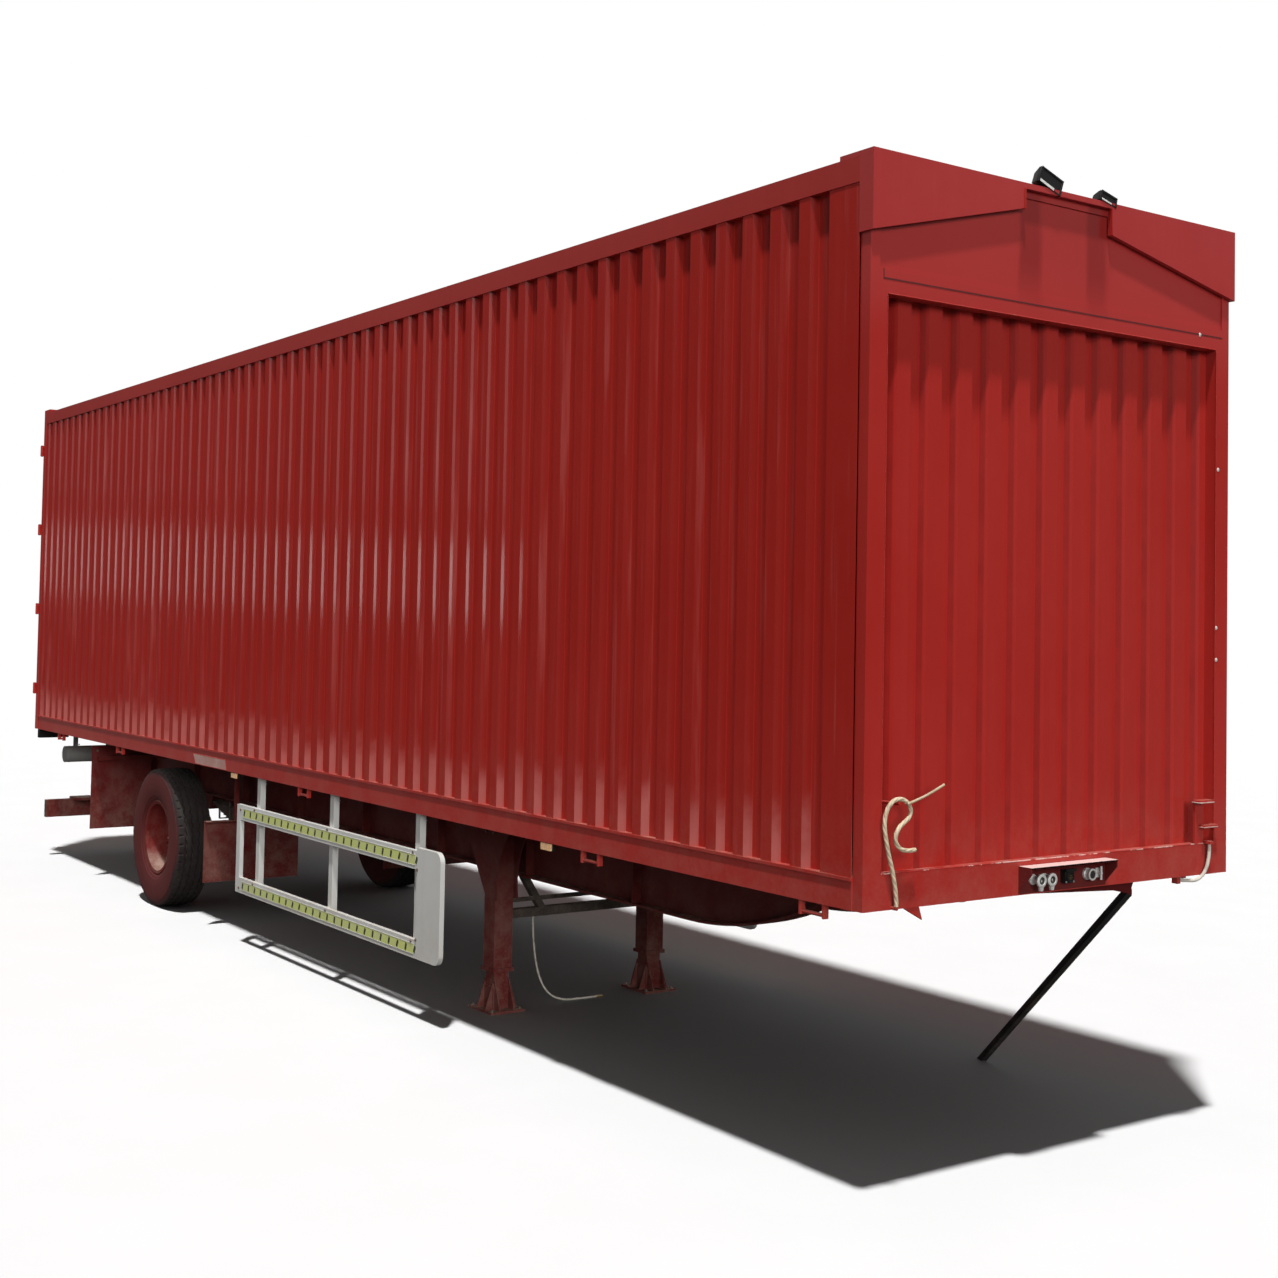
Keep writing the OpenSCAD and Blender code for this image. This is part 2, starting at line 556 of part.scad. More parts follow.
// ---- axle and springs ----
axle_z = tyre_r;
axle_w = 127;
spring_y = beam_y;
spring_w = 90;
leaf_t = 12;
leaf_n = 8;
leaf_lap = 1;                         // each leaf bites this far into the next
seat_h = 30;
spring_bottom = axle_z + axle_w / 2 + seat_h;
drum_r = 205;
drum_in = 745;
module axle_beam() color("dimgray") {
    block([axle_x - axle_w / 2, -drum_in + 10, axle_z - axle_w / 2], [axle_x + axle_w / 2, drum_in - 10, axle_z + axle_w / 2]);
    both() {
        bar_y([axle_x, drum_in - 10, axle_z], 235, spindle_r);
        // spring seat, brake flange, brake chamber and its arm
        block([axle_x - 90, spring_y - spring_w / 2, axle_z + axle_w / 2], [axle_x + 90, spring_y + spring_w / 2, spring_bottom]);
        bar_y([axle_x, drum_in - 22, axle_z], 12, 120);
        bar_x([axle_x + 80, 250, axle_z + 60], 130, 82);
        bar_x([axle_x + 60, 250, axle_z + 60], 20, 30);
        block([axle_x + axle_w / 2, 225, axle_z - 50], [axle_x + 80, 275, axle_z + 120]);
        bar_y([axle_x + 110, 250, axle_z - 55], drum_in - 262, 18);
        block([axle_x + axle_w / 2, 600, axle_z - 75], [axle_x + 130, 625, axle_z - 36]);
    }
}

// an arched leaf of the given length whose middle sits at height z
spring_r = 4200;
function leaf_pts(l, z, t) = let (r = spring_r, c = [axle_x, z + r], a = asin(l / 2 / r))
    concat(arc(c, r, -90 - a, -90 + a, 10), arc(c, r - t, -90 + a, -90 - a, 10));
hanger_l = 560;
module leaf_springs() both() {
    color("dimgray") xz(spring_y - spring_w / 2, spring_w)
        for (i = [0 : leaf_n - 1])
            polygon(leaf_pts(2 * hanger_l - 20 - (leaf_n - 1 - i) * 120, spring_bottom + i * leaf_t, leaf_t + (i < leaf_n - 1 ? leaf_lap : 0)));
    // clamp plate with four bolts down past the axle
    color("gray") {
        block([axle_x - 90, spring_y - 66, spring_bottom + leaf_n * leaf_t + 1], [axle_x + 90, spring_y + 66, spring_bottom + leaf_n * leaf_t + 21]);
        block([axle_x - 90, spring_y - 66, axle_z - axle_w / 2 - 20], [axle_x + 90, spring_y + 66, axle_z - axle_w / 2]);
        for (sx = [-1, 1], sy = [-1, 1])
            bar_z([axle_x + sx * 78, spring_y + sy * 57, axle_z - axle_w / 2 - 20], spring_bottom + leaf_n * leaf_t + 60 - axle_z + axle_w / 2 + 20, 9);
    }
}

// upper face of the main leaf where the hangers' slide pins bear on it
bear_x = hanger_l - 15;
eye_z = spring_bottom + (leaf_n - 1) * leaf_t + spring_r - sqrt(pow(spring_r - leaf_t, 2) - bear_x * bear_x);
slide_r = 14;
module spring_hangers() color(dark_red) both()
    for (s = [-1, 1]) {
        x = axle_x + s * (hanger_l + 10);
        for (y = [spring_y - spring_w / 2 - 14, spring_y + spring_w / 2 + 4])
            xz(y, 10) polygon([[x - 90, beam_bottom], [x + 90, beam_bottom], [x + 45, eye_z - 75], [x - 45, eye_z - 75]]);
        bar_y([x - s * 25, spring_y - spring_w / 2 - 4, eye_z - 55], spring_w + 8, slide_r + 4);
        bar_y([x - s * 25, spring_y - spring_w / 2 - 4, eye_z + slide_r + seat_gap + 0.1], spring_w + 8, slide_r);
    }

// ---- wheels; drawn about the axle's line, outboard is +Z, then laid along Y ----
wheel_mid = tyre_face - tyre_w / 2;
disc_z = -100;                        // outer face of the rim's disc, from the tyre's middle
bead_w = 112;
module on_axle() translate([axle_x, wheel_mid, axle_z]) rotate([-90, 0, 0]) children();
module tyre() color("black") on_axle() rotate_extrude() polygon(concat(
    [[rim_r - 34, -bead_w + 10], [rim_r + 1, -bead_w + 10], [rim_r + 1, -bead_w - 4]],
    [[rim_r + 26, -bead_w - 20], [rim_r + 70, -tyre_w / 2 + 6], [rim_r + 125, -tyre_w / 2], [tyre_r - 95, -tyre_w / 2 + 3],
     [tyre_r - 42, -tyre_w / 2 + 13], [tyre_r - 14, -tyre_w / 2 + 24], [tyre_r - 3, -tyre_w / 2 + 40], [tyre_r, -60]],
    [[tyre_r, 60], [tyre_r - 3, tyre_w / 2 - 40], [tyre_r - 14, tyre_w / 2 - 24], [tyre_r - 42, tyre_w / 2 - 13],
     [tyre_r - 95, tyre_w / 2 - 3], [rim_r + 125, tyre_w / 2], [rim_r + 70, tyre_w / 2 - 6], [rim_r + 26, bead_w + 20]],
    [[rim_r + 1, bead_w + 4], [rim_r + 1, bead_w - 10], [rim_r - 34, bead_w - 10]]));

module wheel_rim() color(dark_red) on_axle() rotate_extrude() polygon([
    [hub_r, disc_z - 12], [170, disc_z - 12], [205, disc_z - 2], [rim_r - 50, disc_z + 4], [rim_r - 45, -bead_w],
    [rim_r - 30, -bead_w], [rim_r, -bead_w - 2], [rim_r, -bead_w + 8], [rim_r - 34.5, -bead_w + 9],
    [rim_r - 34.5, bead_w - 9], [rim_r, bead_w - 8], [rim_r, bead_w + 2], [rim_r - 30, bead_w],
    [rim_r - 45, bead_w - 10], [rim_r - 45, disc_z + 40], [215, disc_z + 14], [165, disc_z], [hub_r, disc_z]]);

hub_r = 92;
hub_out = wheel_mid + disc_z + 70;
module hub() color("dimgray") difference() {
    union() {
        bar_y([axle_x, drum_in, axle_z], wheel_mid + disc_z - 12 - drum_in, drum_r);
        bar_y([axle_x, drum_in, axle_z], hub_out - drum_in - 14, hub_r - seat_gap);
        bar_y([axle_x, hub_out - 14, axle_z], 14, hub_r - 22);
    }
    bar_y([axle_x, drum_in - 1, axle_z], hub_out - drum_in - 14, spindle_r + hub_gap);
}

// ---- prop, rope and hoses ----
prop_top = [6, 540, 1200];
prop_foot = [-1490, 1150, 0];
prop_w = 34;
module nose_prop() color("black") {
    // wedge plate under the sill that the prop's head is bolted to
    yz(0, 12) polygon([[-230, rail_z], [-230, rail_z - 6], [420, rail_z - 38], [540, rail_z - 62], [570, rail_z]]);
    d = prop_foot - prop_top;
    l = norm(d);
    intersection() {
        translate(prop_top) rotate([0, acos(d[2] / l), atan2(d[1], d[0])]) translate([-prop_w / 2, -prop_w / 2, -40]) cube([prop_w, prop_w, l + 80]);
        block([-3000, 0, 0], [12, 1215, rail_z - 40]);
    }
}

// a tube swept along points whose direction is never close to +X
function unit(v) = v / norm(v);
function tangent(p, i) = unit(p[min(i + 1, len(p) - 1)] - p[max(i - 1, 0)]);
module tube(p, r, sides = 8) {
    n = len(p);
    rings = [for (i = [0 : n - 1]) let (t = tangent(p, i), u = unit(cross(t, [1, 0, 0])), v = cross(t, u))
        each [for (k = [0 : sides - 1]) p[i] + r * (u * cos(360 * k / sides) + v * sin(360 * k / sides))]];
    faces = concat(
        [[for (k = [0 : sides - 1]) k]],
        [for (i = [0 : n - 2], k = [0 : sides - 1]) each [
            [i * sides + k, (i + 1) * sides + k, i * sides + (k + 1) % sides],
            [i * sides + (k + 1) % sides, (i + 1) * sides + k, (i + 1) * sides + (k + 1) % sides]]],
        [[for (k = [sides - 1 : -1 : 0]) (n - 1) * sides + k]]);
    polyhedron(points = rings, faces = faces);
}

module nose_rope() color("wheat") tube(rope_pts, rope_d / 2);

module nose_hose() color("wheat") tube(hose_pts, hose_d / 2);

module leg_hose() color("wheat") tube(leg_hose_pts, leg_hose_d / 2);
module hose_coupling() color("silver") bar_y(hose_end, 46, hose_end[2]);

placed() left() main_beam();  // main_beam_left
placed() right() main_beam();  // main_beam_right
placed() cross_members();
placed() floor_boards();
placed() coupler_plate();
placed() both() bottom_rail();  // bottom_rails
placed() left() side_wall();  // side_wall_left
placed() right() side_wall();  // side_wall_right
placed() both() top_rail();  // top_rails
placed() roof_panel();
placed() nose_frame();
placed() nose_wall();
placed() nose_visor();
placed() connector_box();
placed() air_couplings();
placed() top_lamps();
placed() rear_frame();
placed() left() rear_door();  // rear_door_left
placed() right() rear_door();  // rear_door_right
placed() left() lock_bars();  // lock_bars_left
placed() right() lock_bars();  // lock_bars_right
placed() rear_bumper();
placed() rear_lamps();
placed() mud_plates();
placed() air_tank();
placed() side_markers();
placed() left() landing_leg();  // landing_leg_left
placed() right() landing_leg();  // landing_leg_right
placed() left() landing_foot();  // landing_foot_left
placed() right() landing_foot();  // landing_foot_right
placed() leg_brace();
placed() left() side_guard();  // side_guard_left
placed() right() side_guard();  // side_guard_right
placed() axle_beam();
placed() leaf_springs();
placed() spring_hangers();
placed() left() tyre();  // tyre_left
placed() left() wheel_rim();  // wheel_rim_left
placed() left() hub();  // hub_left
placed() right() tyre();  // tyre_right
placed() right() wheel_rim();  // wheel_rim_right
placed() right() hub();  // hub_right
placed() nose_prop();
placed() nose_rope();
placed() nose_hose();
placed() leg_hose();
placed() hose_coupling();
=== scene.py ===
# Looks of a van semi-trailer: weathered red paint, tyres, lamps, couplings, reflectors, rope and hoses.
# Metres. +X towards the nose, +Y to the trailer's own left, +Z up.
import json
import math

import bmesh
import bpy
import numpy as np
from mathutils import Matrix, Vector

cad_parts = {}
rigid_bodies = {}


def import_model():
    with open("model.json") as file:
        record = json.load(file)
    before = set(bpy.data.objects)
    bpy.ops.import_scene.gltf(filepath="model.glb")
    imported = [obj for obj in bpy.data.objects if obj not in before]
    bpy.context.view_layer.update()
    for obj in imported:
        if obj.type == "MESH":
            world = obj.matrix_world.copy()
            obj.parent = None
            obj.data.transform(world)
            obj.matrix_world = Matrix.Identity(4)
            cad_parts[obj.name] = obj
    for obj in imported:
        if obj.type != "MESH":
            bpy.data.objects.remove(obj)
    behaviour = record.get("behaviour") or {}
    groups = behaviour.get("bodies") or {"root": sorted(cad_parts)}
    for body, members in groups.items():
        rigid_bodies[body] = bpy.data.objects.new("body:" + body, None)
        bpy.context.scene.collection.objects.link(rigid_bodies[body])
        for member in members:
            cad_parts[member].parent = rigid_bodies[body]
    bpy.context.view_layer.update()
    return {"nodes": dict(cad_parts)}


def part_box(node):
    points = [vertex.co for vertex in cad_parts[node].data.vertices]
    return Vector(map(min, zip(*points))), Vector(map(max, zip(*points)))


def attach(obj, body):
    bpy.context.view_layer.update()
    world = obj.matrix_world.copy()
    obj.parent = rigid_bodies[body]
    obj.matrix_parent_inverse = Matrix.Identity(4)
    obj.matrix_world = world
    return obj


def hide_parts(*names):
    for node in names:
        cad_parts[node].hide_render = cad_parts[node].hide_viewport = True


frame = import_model()
nodes = frame["nodes"]
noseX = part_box("side_wall_right")[1].x  # plane of the nose wall
print("frame loaded,", len(nodes), "nodes")


def at(x, y, z):
    # a place measured from the nose wall's plane, the centre line and the ground
    return Vector((noseX + x, y, z))


# ---- camera, lamps and floor
camera = {"x": 5.2023, "y": -5.9614, "z": 2.4298, "heading": 145.020, "tilt": 2.192, "roll": 1.064,
          "lens": 47.33, "shiftX": 0.0012, "shiftY": -0.0644}
light = {"sunFrom": (0.218, -0.210, 0.953), "sunStrength": 3.50, "sunSoftness": 3.0, "fill": 0.10,
         "boxHeading": -22.0, "boxTilt": 16.0, "boxStrength": 1.62, "boxSoftness": 24.0,
         "cardFrom": (43.5, -42.0), "cardLow": 3.0, "cardHigh": 6.0, "cardWidth": 29.5, "cardRoll": -2.6,
         "cardPower": 2700.0, "skyLow": 7.4, "skyHigh": 30.0, "skyPower": 4600.0,
         "rearHeading": 152.0, "rearTilt": 12.0, "rearStrength": 1.45}
ground = {"radius": 60.0, "fadeFrom": 12.0, "fadeTo": 22.0, "paint": (0.87, 0.87, 0.87),
          "bounce": (0.15, 0.145, 0.14)}


class Net:
    # a node tree with short ways to add and join nodes
    def __init__(self, tree):
        self.tree = tree

    def add(self, kind, settings=None, **sockets):
        node = self.tree.nodes.new(kind)
        for key, value in (settings or {}).items():
            setattr(node, key, value)
        return self.fill(node, **sockets)

    def fill(self, node, **sockets):
        for key, value in sockets.items():
            self.feed(node.inputs[key.replace("_", " ")], value)
        return node

    def feed(self, socket, value):
        if isinstance(value, bpy.types.NodeSocket):
            self.tree.links.new(value, socket)
        elif value is not None:
            if socket.type == "RGBA" and len(value) == 3:
                value = (*value, 1.0)
            socket.default_value = value

    def math(self, operation, *values, clamp=False):
        node = self.tree.nodes.new("ShaderNodeMath")
        node.operation = operation
        node.use_clamp = clamp
        for socket, value in zip(node.inputs, values):
            self.feed(socket, value)
        return node.outputs[0]

    def times(self, *values, clamp=False):
        return self.math("MULTIPLY", *values, clamp=clamp)

    def plus(self, *values, clamp=False):
        return self.math("ADD", *values, clamp=clamp)

    def minus(self, *values, clamp=False):
        return self.math("SUBTRACT", *values, clamp=clamp)

    def mix(self, factor, first, second, blend="MIX"):
        node = self.tree.nodes.new("ShaderNodeMix")
        node.data_type = "RGBA"
        node.blend_type = blend
        self.feed(node.inputs[0], factor)
        self.feed(node.inputs[6], first)
        self.feed(node.inputs[7], second)
        return node.outputs[2]

    def span(self, value, low, high, toLow=0.0, toHigh=1.0, smooth=True):
        node = self.tree.nodes.new("ShaderNodeMapRange")
        node.interpolation_type = "SMOOTHSTEP" if smooth else "LINEAR"
        for socket, number in zip(node.inputs, (value, low, high, toLow, toHigh)):
            self.feed(socket, number)
        return node.outputs[0]

    def objectPoint(self):
        return self.add("ShaderNodeTexCoord").outputs["Object"]

    def scaled(self, point, scale, offset=(0, 0, 0)):
        return self.add("ShaderNodeMapping", Vector=point, Scale=scale, Location=offset).outputs[0]

    def noise(self, point, scale, detail=3.0, roughness=0.55, distortion=0.0):
        return self.add("ShaderNodeTexNoise", Vector=point, Scale=scale, Detail=detail,
                        Roughness=roughness, Distortion=distortion).outputs["Fac"]

    def split(self, point):
        return self.add("ShaderNodeSeparateXYZ", Vector=point).outputs


def towards(heading, tilt):
    yaw, pitch = math.radians(heading), math.radians(tilt)
    return Vector((math.cos(yaw) * math.cos(pitch), math.sin(yaw) * math.cos(pitch), math.sin(pitch)))


def lookAlong(heading, tilt, roll):
    forward, yaw, turn = towards(heading, tilt), math.radians(heading), math.radians(roll)
    side = Vector((math.sin(yaw), -math.cos(yaw), 0))
    upward = side.cross(forward)
    right = math.cos(turn) * side + math.sin(turn) * upward
    top = -math.sin(turn) * side + math.cos(turn) * upward
    return Matrix((right, top, -forward)).transposed().to_4x4()


cameraData = bpy.data.cameras.new("view")
cameraData.lens = camera["lens"]
cameraData.sensor_width = 36
cameraData.shift_x, cameraData.shift_y = camera["shiftX"], camera["shiftY"]
cameraData.clip_end = 300
viewer = bpy.data.objects.new("view", cameraData)
viewer.matrix_world = (Matrix.Translation(at(camera["x"], camera["y"], camera["z"]))
                       @ lookAlong(camera["heading"], camera["tilt"], camera["roll"]))
bpy.context.scene.collection.objects.link(viewer)
bpy.context.scene.camera = viewer
bpy.context.scene.view_settings.view_transform = "Standard"


def lampAt(name, kind, place, direction, **settings):
    data = bpy.data.lights.new(name, kind)
    for key, value in settings.items():
        setattr(data, key, value)
    lamp = bpy.data.objects.new(name, data)
    lamp.rotation_euler = Vector(direction).to_track_quat("-Z", "Y").to_euler()
    lamp.location = place
    bpy.context.scene.collection.objects.link(lamp)
    return lamp


lampAt("softSun", "SUN", (0, 0, 20), -Vector(light["sunFrom"]), energy=light["sunStrength"],
       angle=math.radians(light["sunSoftness"]))
boxes = []
for lampName, side in (("softBox", "box"), ("rearBox", "rear")):
    softBox = lampAt(lampName, "SUN", (0, 0, 20), -towards(light[side + "Heading"], light[side + "Tilt"]),
                     energy=light[side + "Strength"], angle=math.radians(light["boxSoftness"]))
    softBox.visible_glossy = False
    boxes.append(softBox)
cardX, cardY = light["cardFrom"]
for side in ("card", "sky"):
    start, end = light[side + "Low"], light[side + "High"]
    card = lampAt(side + "Reflector", "AREA", (cardX, cardY, (start + end) / 2), (-cardX, -cardY, 0),
                  shape="RECTANGLE", size=light["cardWidth"], size_y=end - start, energy=light[side + "Power"])
    card.rotation_euler.rotate_axis("Z", math.radians(light["cardRoll"]))
    card.visible_camera = False
    card.visible_diffuse = False

world = bpy.data.worlds.new("studio")
bpy.context.scene.world = world
world.use_nodes = True
world.node_tree.nodes.clear()
net = Net(world.node_tree)
path = net.add("ShaderNodeLightPath").outputs
height = net.split(net.add("ShaderNodeTexCoord").outputs["Generated"])["Z"]
mirrored = net.math("MAXIMUM", path["Is Glossy Ray"], path["Is Transmission Ray"])
# white card all round, dim where the studio's walls stand low down
low = net.span(net.math("ABSOLUTE", height), 0.10, 0.42, 0.10, 1.0)
seen = net.math("MAXIMUM", path["Is Camera Ray"], net.times(mirrored, low))
upper = net.span(height, 0.08, 0.42, 0.10, 1.0)
strength = net.math("MAXIMUM", seen, net.times(net.times(upper, light["fill"]), net.minus(1.0, mirrored)))
back = net.add("ShaderNodeBackground", Color=(1, 1, 1), Strength=strength)
net.tree.links.new(back.outputs[0], net.add("ShaderNodeOutputWorld").inputs[0])


def newMaterial(name):
    material = bpy.data.materials.new(name)
    material.use_nodes = True
    material.node_tree.nodes.clear()
    net = Net(material.node_tree)
    shader = net.add("ShaderNodeBsdfPrincipled")
    output = net.add("ShaderNodeOutputMaterial")
    net.tree.links.new(shader.outputs[0], output.inputs[0])
    return material, net, shader


floorPaint, net, shader = newMaterial("floorPaint")
point = net.objectPoint()
grain = net.noise(point, 1.4, 5.0)
seenPaint = net.mix(net.span(grain, 0.3, 0.7, 0.0, 0.12), ground["paint"], (0.76, 0.755, 0.75))
net.fill(shader, Roughness=0.95, Specular_IOR_Level=0.1,
         Base_Color=net.mix(net.add("ShaderNodeLightPath").outputs["Is Camera Ray"], ground["bounce"], seenPaint))
# the far floor turns into the white backdrop
glow = net.add("ShaderNodeEmission", Color=(1, 1, 1), Strength=1.0)
away = net.span(net.add("ShaderNodeVectorMath", {"operation": "LENGTH"}, Vector=point).outputs["Value"],
                ground["fadeFrom"], ground["fadeTo"])
blend = net.add("ShaderNodeMixShader")
net.feed(blend.inputs[0], net.times(away, net.add("ShaderNodeLightPath").outputs["Is Camera Ray"]))
net.tree.links.new(shader.outputs[0], blend.inputs[1])
net.tree.links.new(glow.outputs[0], blend.inputs[2])
# the floor is clear when seen from below
openFloor = net.add("ShaderNodeMixShader")
net.feed(openFloor.inputs[0], net.add("ShaderNodeNewGeometry").outputs["Backfacing"])
net.tree.links.new(blend.outputs[0], openFloor.inputs[1])
net.tree.links.new(net.add("ShaderNodeBsdfTransparent").outputs[0], openFloor.inputs[2])
net.tree.links.new(openFloor.outputs[0], net.tree.get_output_node("ALL").inputs[0])
edge = [(ground["radius"] * math.cos(a), ground["radius"] * math.sin(a), 0)
        for a in np.linspace(0, 2 * math.pi, 64, endpoint=False)]
floorMesh = bpy.data.meshes.new("floor")
floorMesh.from_pydata(edge, [], [tuple(range(64))])
floorMesh.materials.append(floorPaint)
floor = bpy.data.objects.new("floor", floorMesh)
bpy.context.scene.collection.objects.link(floor)
# the two boxes light the trailer alone, so the ground keeps one clean shadow
unlit = bpy.data.collections.new("unlit by the boxes")
unlit.objects.link(floor)
unlit.collection_objects[0].light_linking.link_state = "EXCLUDE"
for lamp in boxes:
    lamp.light_linking.receiver_collection = unlit
print("camera, lamps and floor made")


# ---- shared effects for the finishes
def effect(name, inputs, outputs):
    tree = bpy.data.node_groups.new(name, "ShaderNodeTree")
    kinds = {"value": "NodeSocketFloat", "colour": "NodeSocketColor", "vector": "NodeSocketVector"}
    for label, (kind, start) in inputs.items():
        socket = tree.interface.new_socket(name=label, in_out="INPUT", socket_type=kinds[kind])
        if start is not None:
            socket.default_value = (*start, 1.0) if kind == "colour" else start
    for label, kind in outputs.items():
        tree.interface.new_socket(name=label, in_out="OUTPUT", socket_type=kinds[kind])
    net = Net(tree)
    return net, net.add("NodeGroupInput").outputs, net.add("NodeGroupOutput").inputs


def use(net, tree, **sockets):
    node = net.tree.nodes.new("ShaderNodeGroup")
    node.node_tree = bpy.data.node_groups[tree]
    return net.fill(node, **sockets).outputs


def makeEffects():
    # paint that has faded unevenly, with soft upright runs
    net, given, out = effect("fadedPaint", {"Paint": ("colour", (0.5, 0.1, 0.1)), "Fade": ("colour", (0.6, 0.2, 0.2)),
                             "Amount": ("value", 0.5), "Runs": ("value", 0.4)},
                             {"Colour": "colour", "Patch": "value"})
    point = net.objectPoint()
    patch = net.span(net.noise(point, 0.55, 4.0, 0.6), 0.36, 0.70)
    fine = net.span(net.noise(point, 9.0, 3.0, 0.6), 0.35, 0.75)
    runs = net.span(net.noise(net.scaled(point, (14, 14, 0.5)), 1.0, 3.0, 0.5), 0.48, 0.80)
    mask = net.plus(net.times(patch, 0.6), net.times(fine, 0.18))
    mask = net.plus(mask, net.times(runs, given["Runs"]))
    mask = net.times(mask, given["Amount"], clamp=True)
    net.feed(out["Colour"], net.mix(mask, given["Paint"], given["Fade"]))
    net.feed(out["Patch"], mask)

    # dust that settles low down and on what faces up
    net, given, out = effect("dust", {"Colour": ("colour", (0.5, 0.5, 0.5)), "Dust": ("colour", (0.42, 0.33, 0.26)),
                             "Full height": ("value", 0.1), "Clear height": ("value", 1.3), "Amount": ("value", 0.5),
                             "On top": ("value", 0.3)}, {"Colour": "colour", "Mask": "value"})
    point = net.objectPoint()
    level = net.span(net.split(point)["Z"], given["Full height"], given["Clear height"], 1.0, 0.0)
    facing = net.span(net.split(net.add("ShaderNodeNewGeometry").outputs["Normal"])["Z"], 0.35, 0.95)
    cloud = net.span(net.noise(point, 6.0, 6.0, 0.7), 0.30, 0.72)
    speck = net.span(net.noise(point, 70.0, 2.0, 0.5), 0.52, 0.70)
    mask = net.plus(net.times(level, given["Amount"]), net.times(facing, given["On top"]))
    mask = net.times(mask, net.plus(net.times(cloud, 0.9), net.times(speck, 0.25)), clamp=True)
    net.feed(out["Colour"], net.mix(mask, given["Colour"], given["Dust"]))
    net.feed(out["Mask"], mask)

    # small chips through the paint, in clusters
    net, given, out = effect("chips", {"Size": ("value", 0.006), "Cover": ("value", 0.3)}, {"Mask": "value"})
    point = net.objectPoint()
    cluster = net.span(net.noise(point, 2.2, 4.0, 0.7), 0.50, 0.72)
    small = net.noise(point, net.math("DIVIDE", 0.4, given["Size"]), 4.0, 0.7)
    limit = net.minus(0.86, net.times(net.times(cluster, given["Cover"]), 0.5))
    net.feed(out["Mask"], net.span(small, limit, net.plus(limit, 0.03)))

    # dents and orange peel, as a height
    net, given, out = effect("sheetWaves", {"Wave size": ("value", 0.8), "Peel": ("value", 0.06)},
                             {"Height": "value"})
    point = net.objectPoint()
    slow = net.noise(point, net.math("DIVIDE", 1.0, given["Wave size"]), 2.0, 0.4)
    peel = net.noise(point, 260.0, 2.0, 0.5)
    net.feed(out["Height"], net.plus(slow, net.times(peel, given["Peel"])))

    # brown bleeding rust, gathered low on a piece
    net, given, out = effect("rust", {"Colour": ("colour", (0.5, 0.1, 0.1)), "Cover": ("value", 0.3),
            "Scale": ("value", 9.0)},
                             {"Colour": "colour", "Mask": "value"})
    point = net.objectPoint()
    blot = net.noise(point, given["Scale"], 8.0, 0.75)
    limit = net.minus(0.78, net.times(given["Cover"], 0.4))
    mask = net.span(blot, limit, net.plus(limit, 0.10))
    tone = net.mix(net.noise(point, 60.0, 4.0), (0.12, 0.045, 0.02), (0.26, 0.11, 0.05))
    net.feed(out["Colour"], net.mix(mask, given["Colour"], tone))
    net.feed(out["Mask"], mask)


makeEffects()


def setBump(net, shader, height, strength, distance):
    bump = net.add("ShaderNodeBump", Height=height, Strength=strength, Distance=distance)
    net.tree.links.new(bump.outputs[0], shader.inputs["Normal"])


# paints: colour, colour where faded, how much and how streaky; dust, the heights where it is full and gone, dust
# on top; chips, rust, roughness, clear coat, size of the sheet's waves and how strongly they show
paints = {
    "bodyPaint": {"paint": (0.360, 0.0185, 0.0135), "fade": (0.430, 0.034, 0.026), "amount": 0.55, "runs": 0.40,
                  "dust": 0.10, "full": 1.20, "clear": 1.9, "onTop": 0.45, "chips": 0.10, "rust": 0.03,
                  "rough": 0.34, "coat": 0.28, "wave": 0.9, "bump": 0.25},
    "framePaint": {"paint": (0.370, 0.0195, 0.0150), "fade": (0.450, 0.040, 0.031), "amount": 0.45, "runs": 0.25,
                   "dust": 0.12, "full": 1.20, "clear": 1.8, "onTop": 0.45, "chips": 0.22, "rust": 0.05,
                   "rough": 0.36, "coat": 0.25, "wave": 0.6, "bump": 0.15},
    "chassisPaint": {"paint": (0.105, 0.009, 0.009), "fade": (0.150, 0.026, 0.024), "amount": 0.7, "runs": 0.3,
                     "dust": 0.26, "full": 0.15, "clear": 1.5, "onTop": 0.5, "chips": 0.5, "rust": 0.22,
                     "rough": 0.58, "coat": 0.05, "wave": 0.4, "bump": 0.2},
    "guardPaint": {"paint": (0.66, 0.66, 0.64), "fade": (0.50, 0.49, 0.45), "amount": 0.6, "runs": 0.3,
                   "dust": 0.30, "full": 0.36, "clear": 0.9, "onTop": 0.5, "chips": 0.35, "rust": 0.05,
                   "rough": 0.42, "coat": 0.10, "wave": 0.5, "bump": 0.10},
    "darkSteel": {"paint": (0.030, 0.026, 0.024), "fade": (0.085, 0.070, 0.058), "amount": 0.7, "runs": 0.1,
                  "dust": 0.45, "full": 0.2, "clear": 1.5, "onTop": 0.55, "chips": 0.4, "rust": 0.25,
                  "rough": 0.62, "coat": 0.0, "wave": 0.3, "bump": 0.2},
    "tankPaint": {"paint": (0.17, 0.17, 0.165), "fade": (0.30, 0.29, 0.27), "amount": 0.6, "runs": 0.1,
                  "dust": 0.35, "full": 0.3, "clear": 1.5, "onTop": 0.6, "chips": 0.3, "rust": 0.10,
                  "rough": 0.45, "coat": 0.05, "wave": 0.3, "bump": 0.1},
    "blackPaint": {"paint": (0.016, 0.016, 0.017), "fade": (0.050, 0.048, 0.046), "amount": 0.5, "runs": 0.1,
                   "dust": 0.30, "full": 0.05, "clear": 1.0, "onTop": 0.35, "chips": 0.4, "rust": 0.10,
                   "rough": 0.48, "coat": 0.05, "wave": 0.3, "bump": 0.15},
    "springSteel": {"paint": (0.060, 0.048, 0.042), "fade": (0.13, 0.085, 0.060), "amount": 0.8, "runs": 0.0,
                    "dust": 0.40, "full": 0.3, "clear": 1.4, "onTop": 0.5, "chips": 0.2, "rust": 0.5,
                    "rough": 0.60, "coat": 0.0, "wave": 0.2, "bump": 0.3},
}
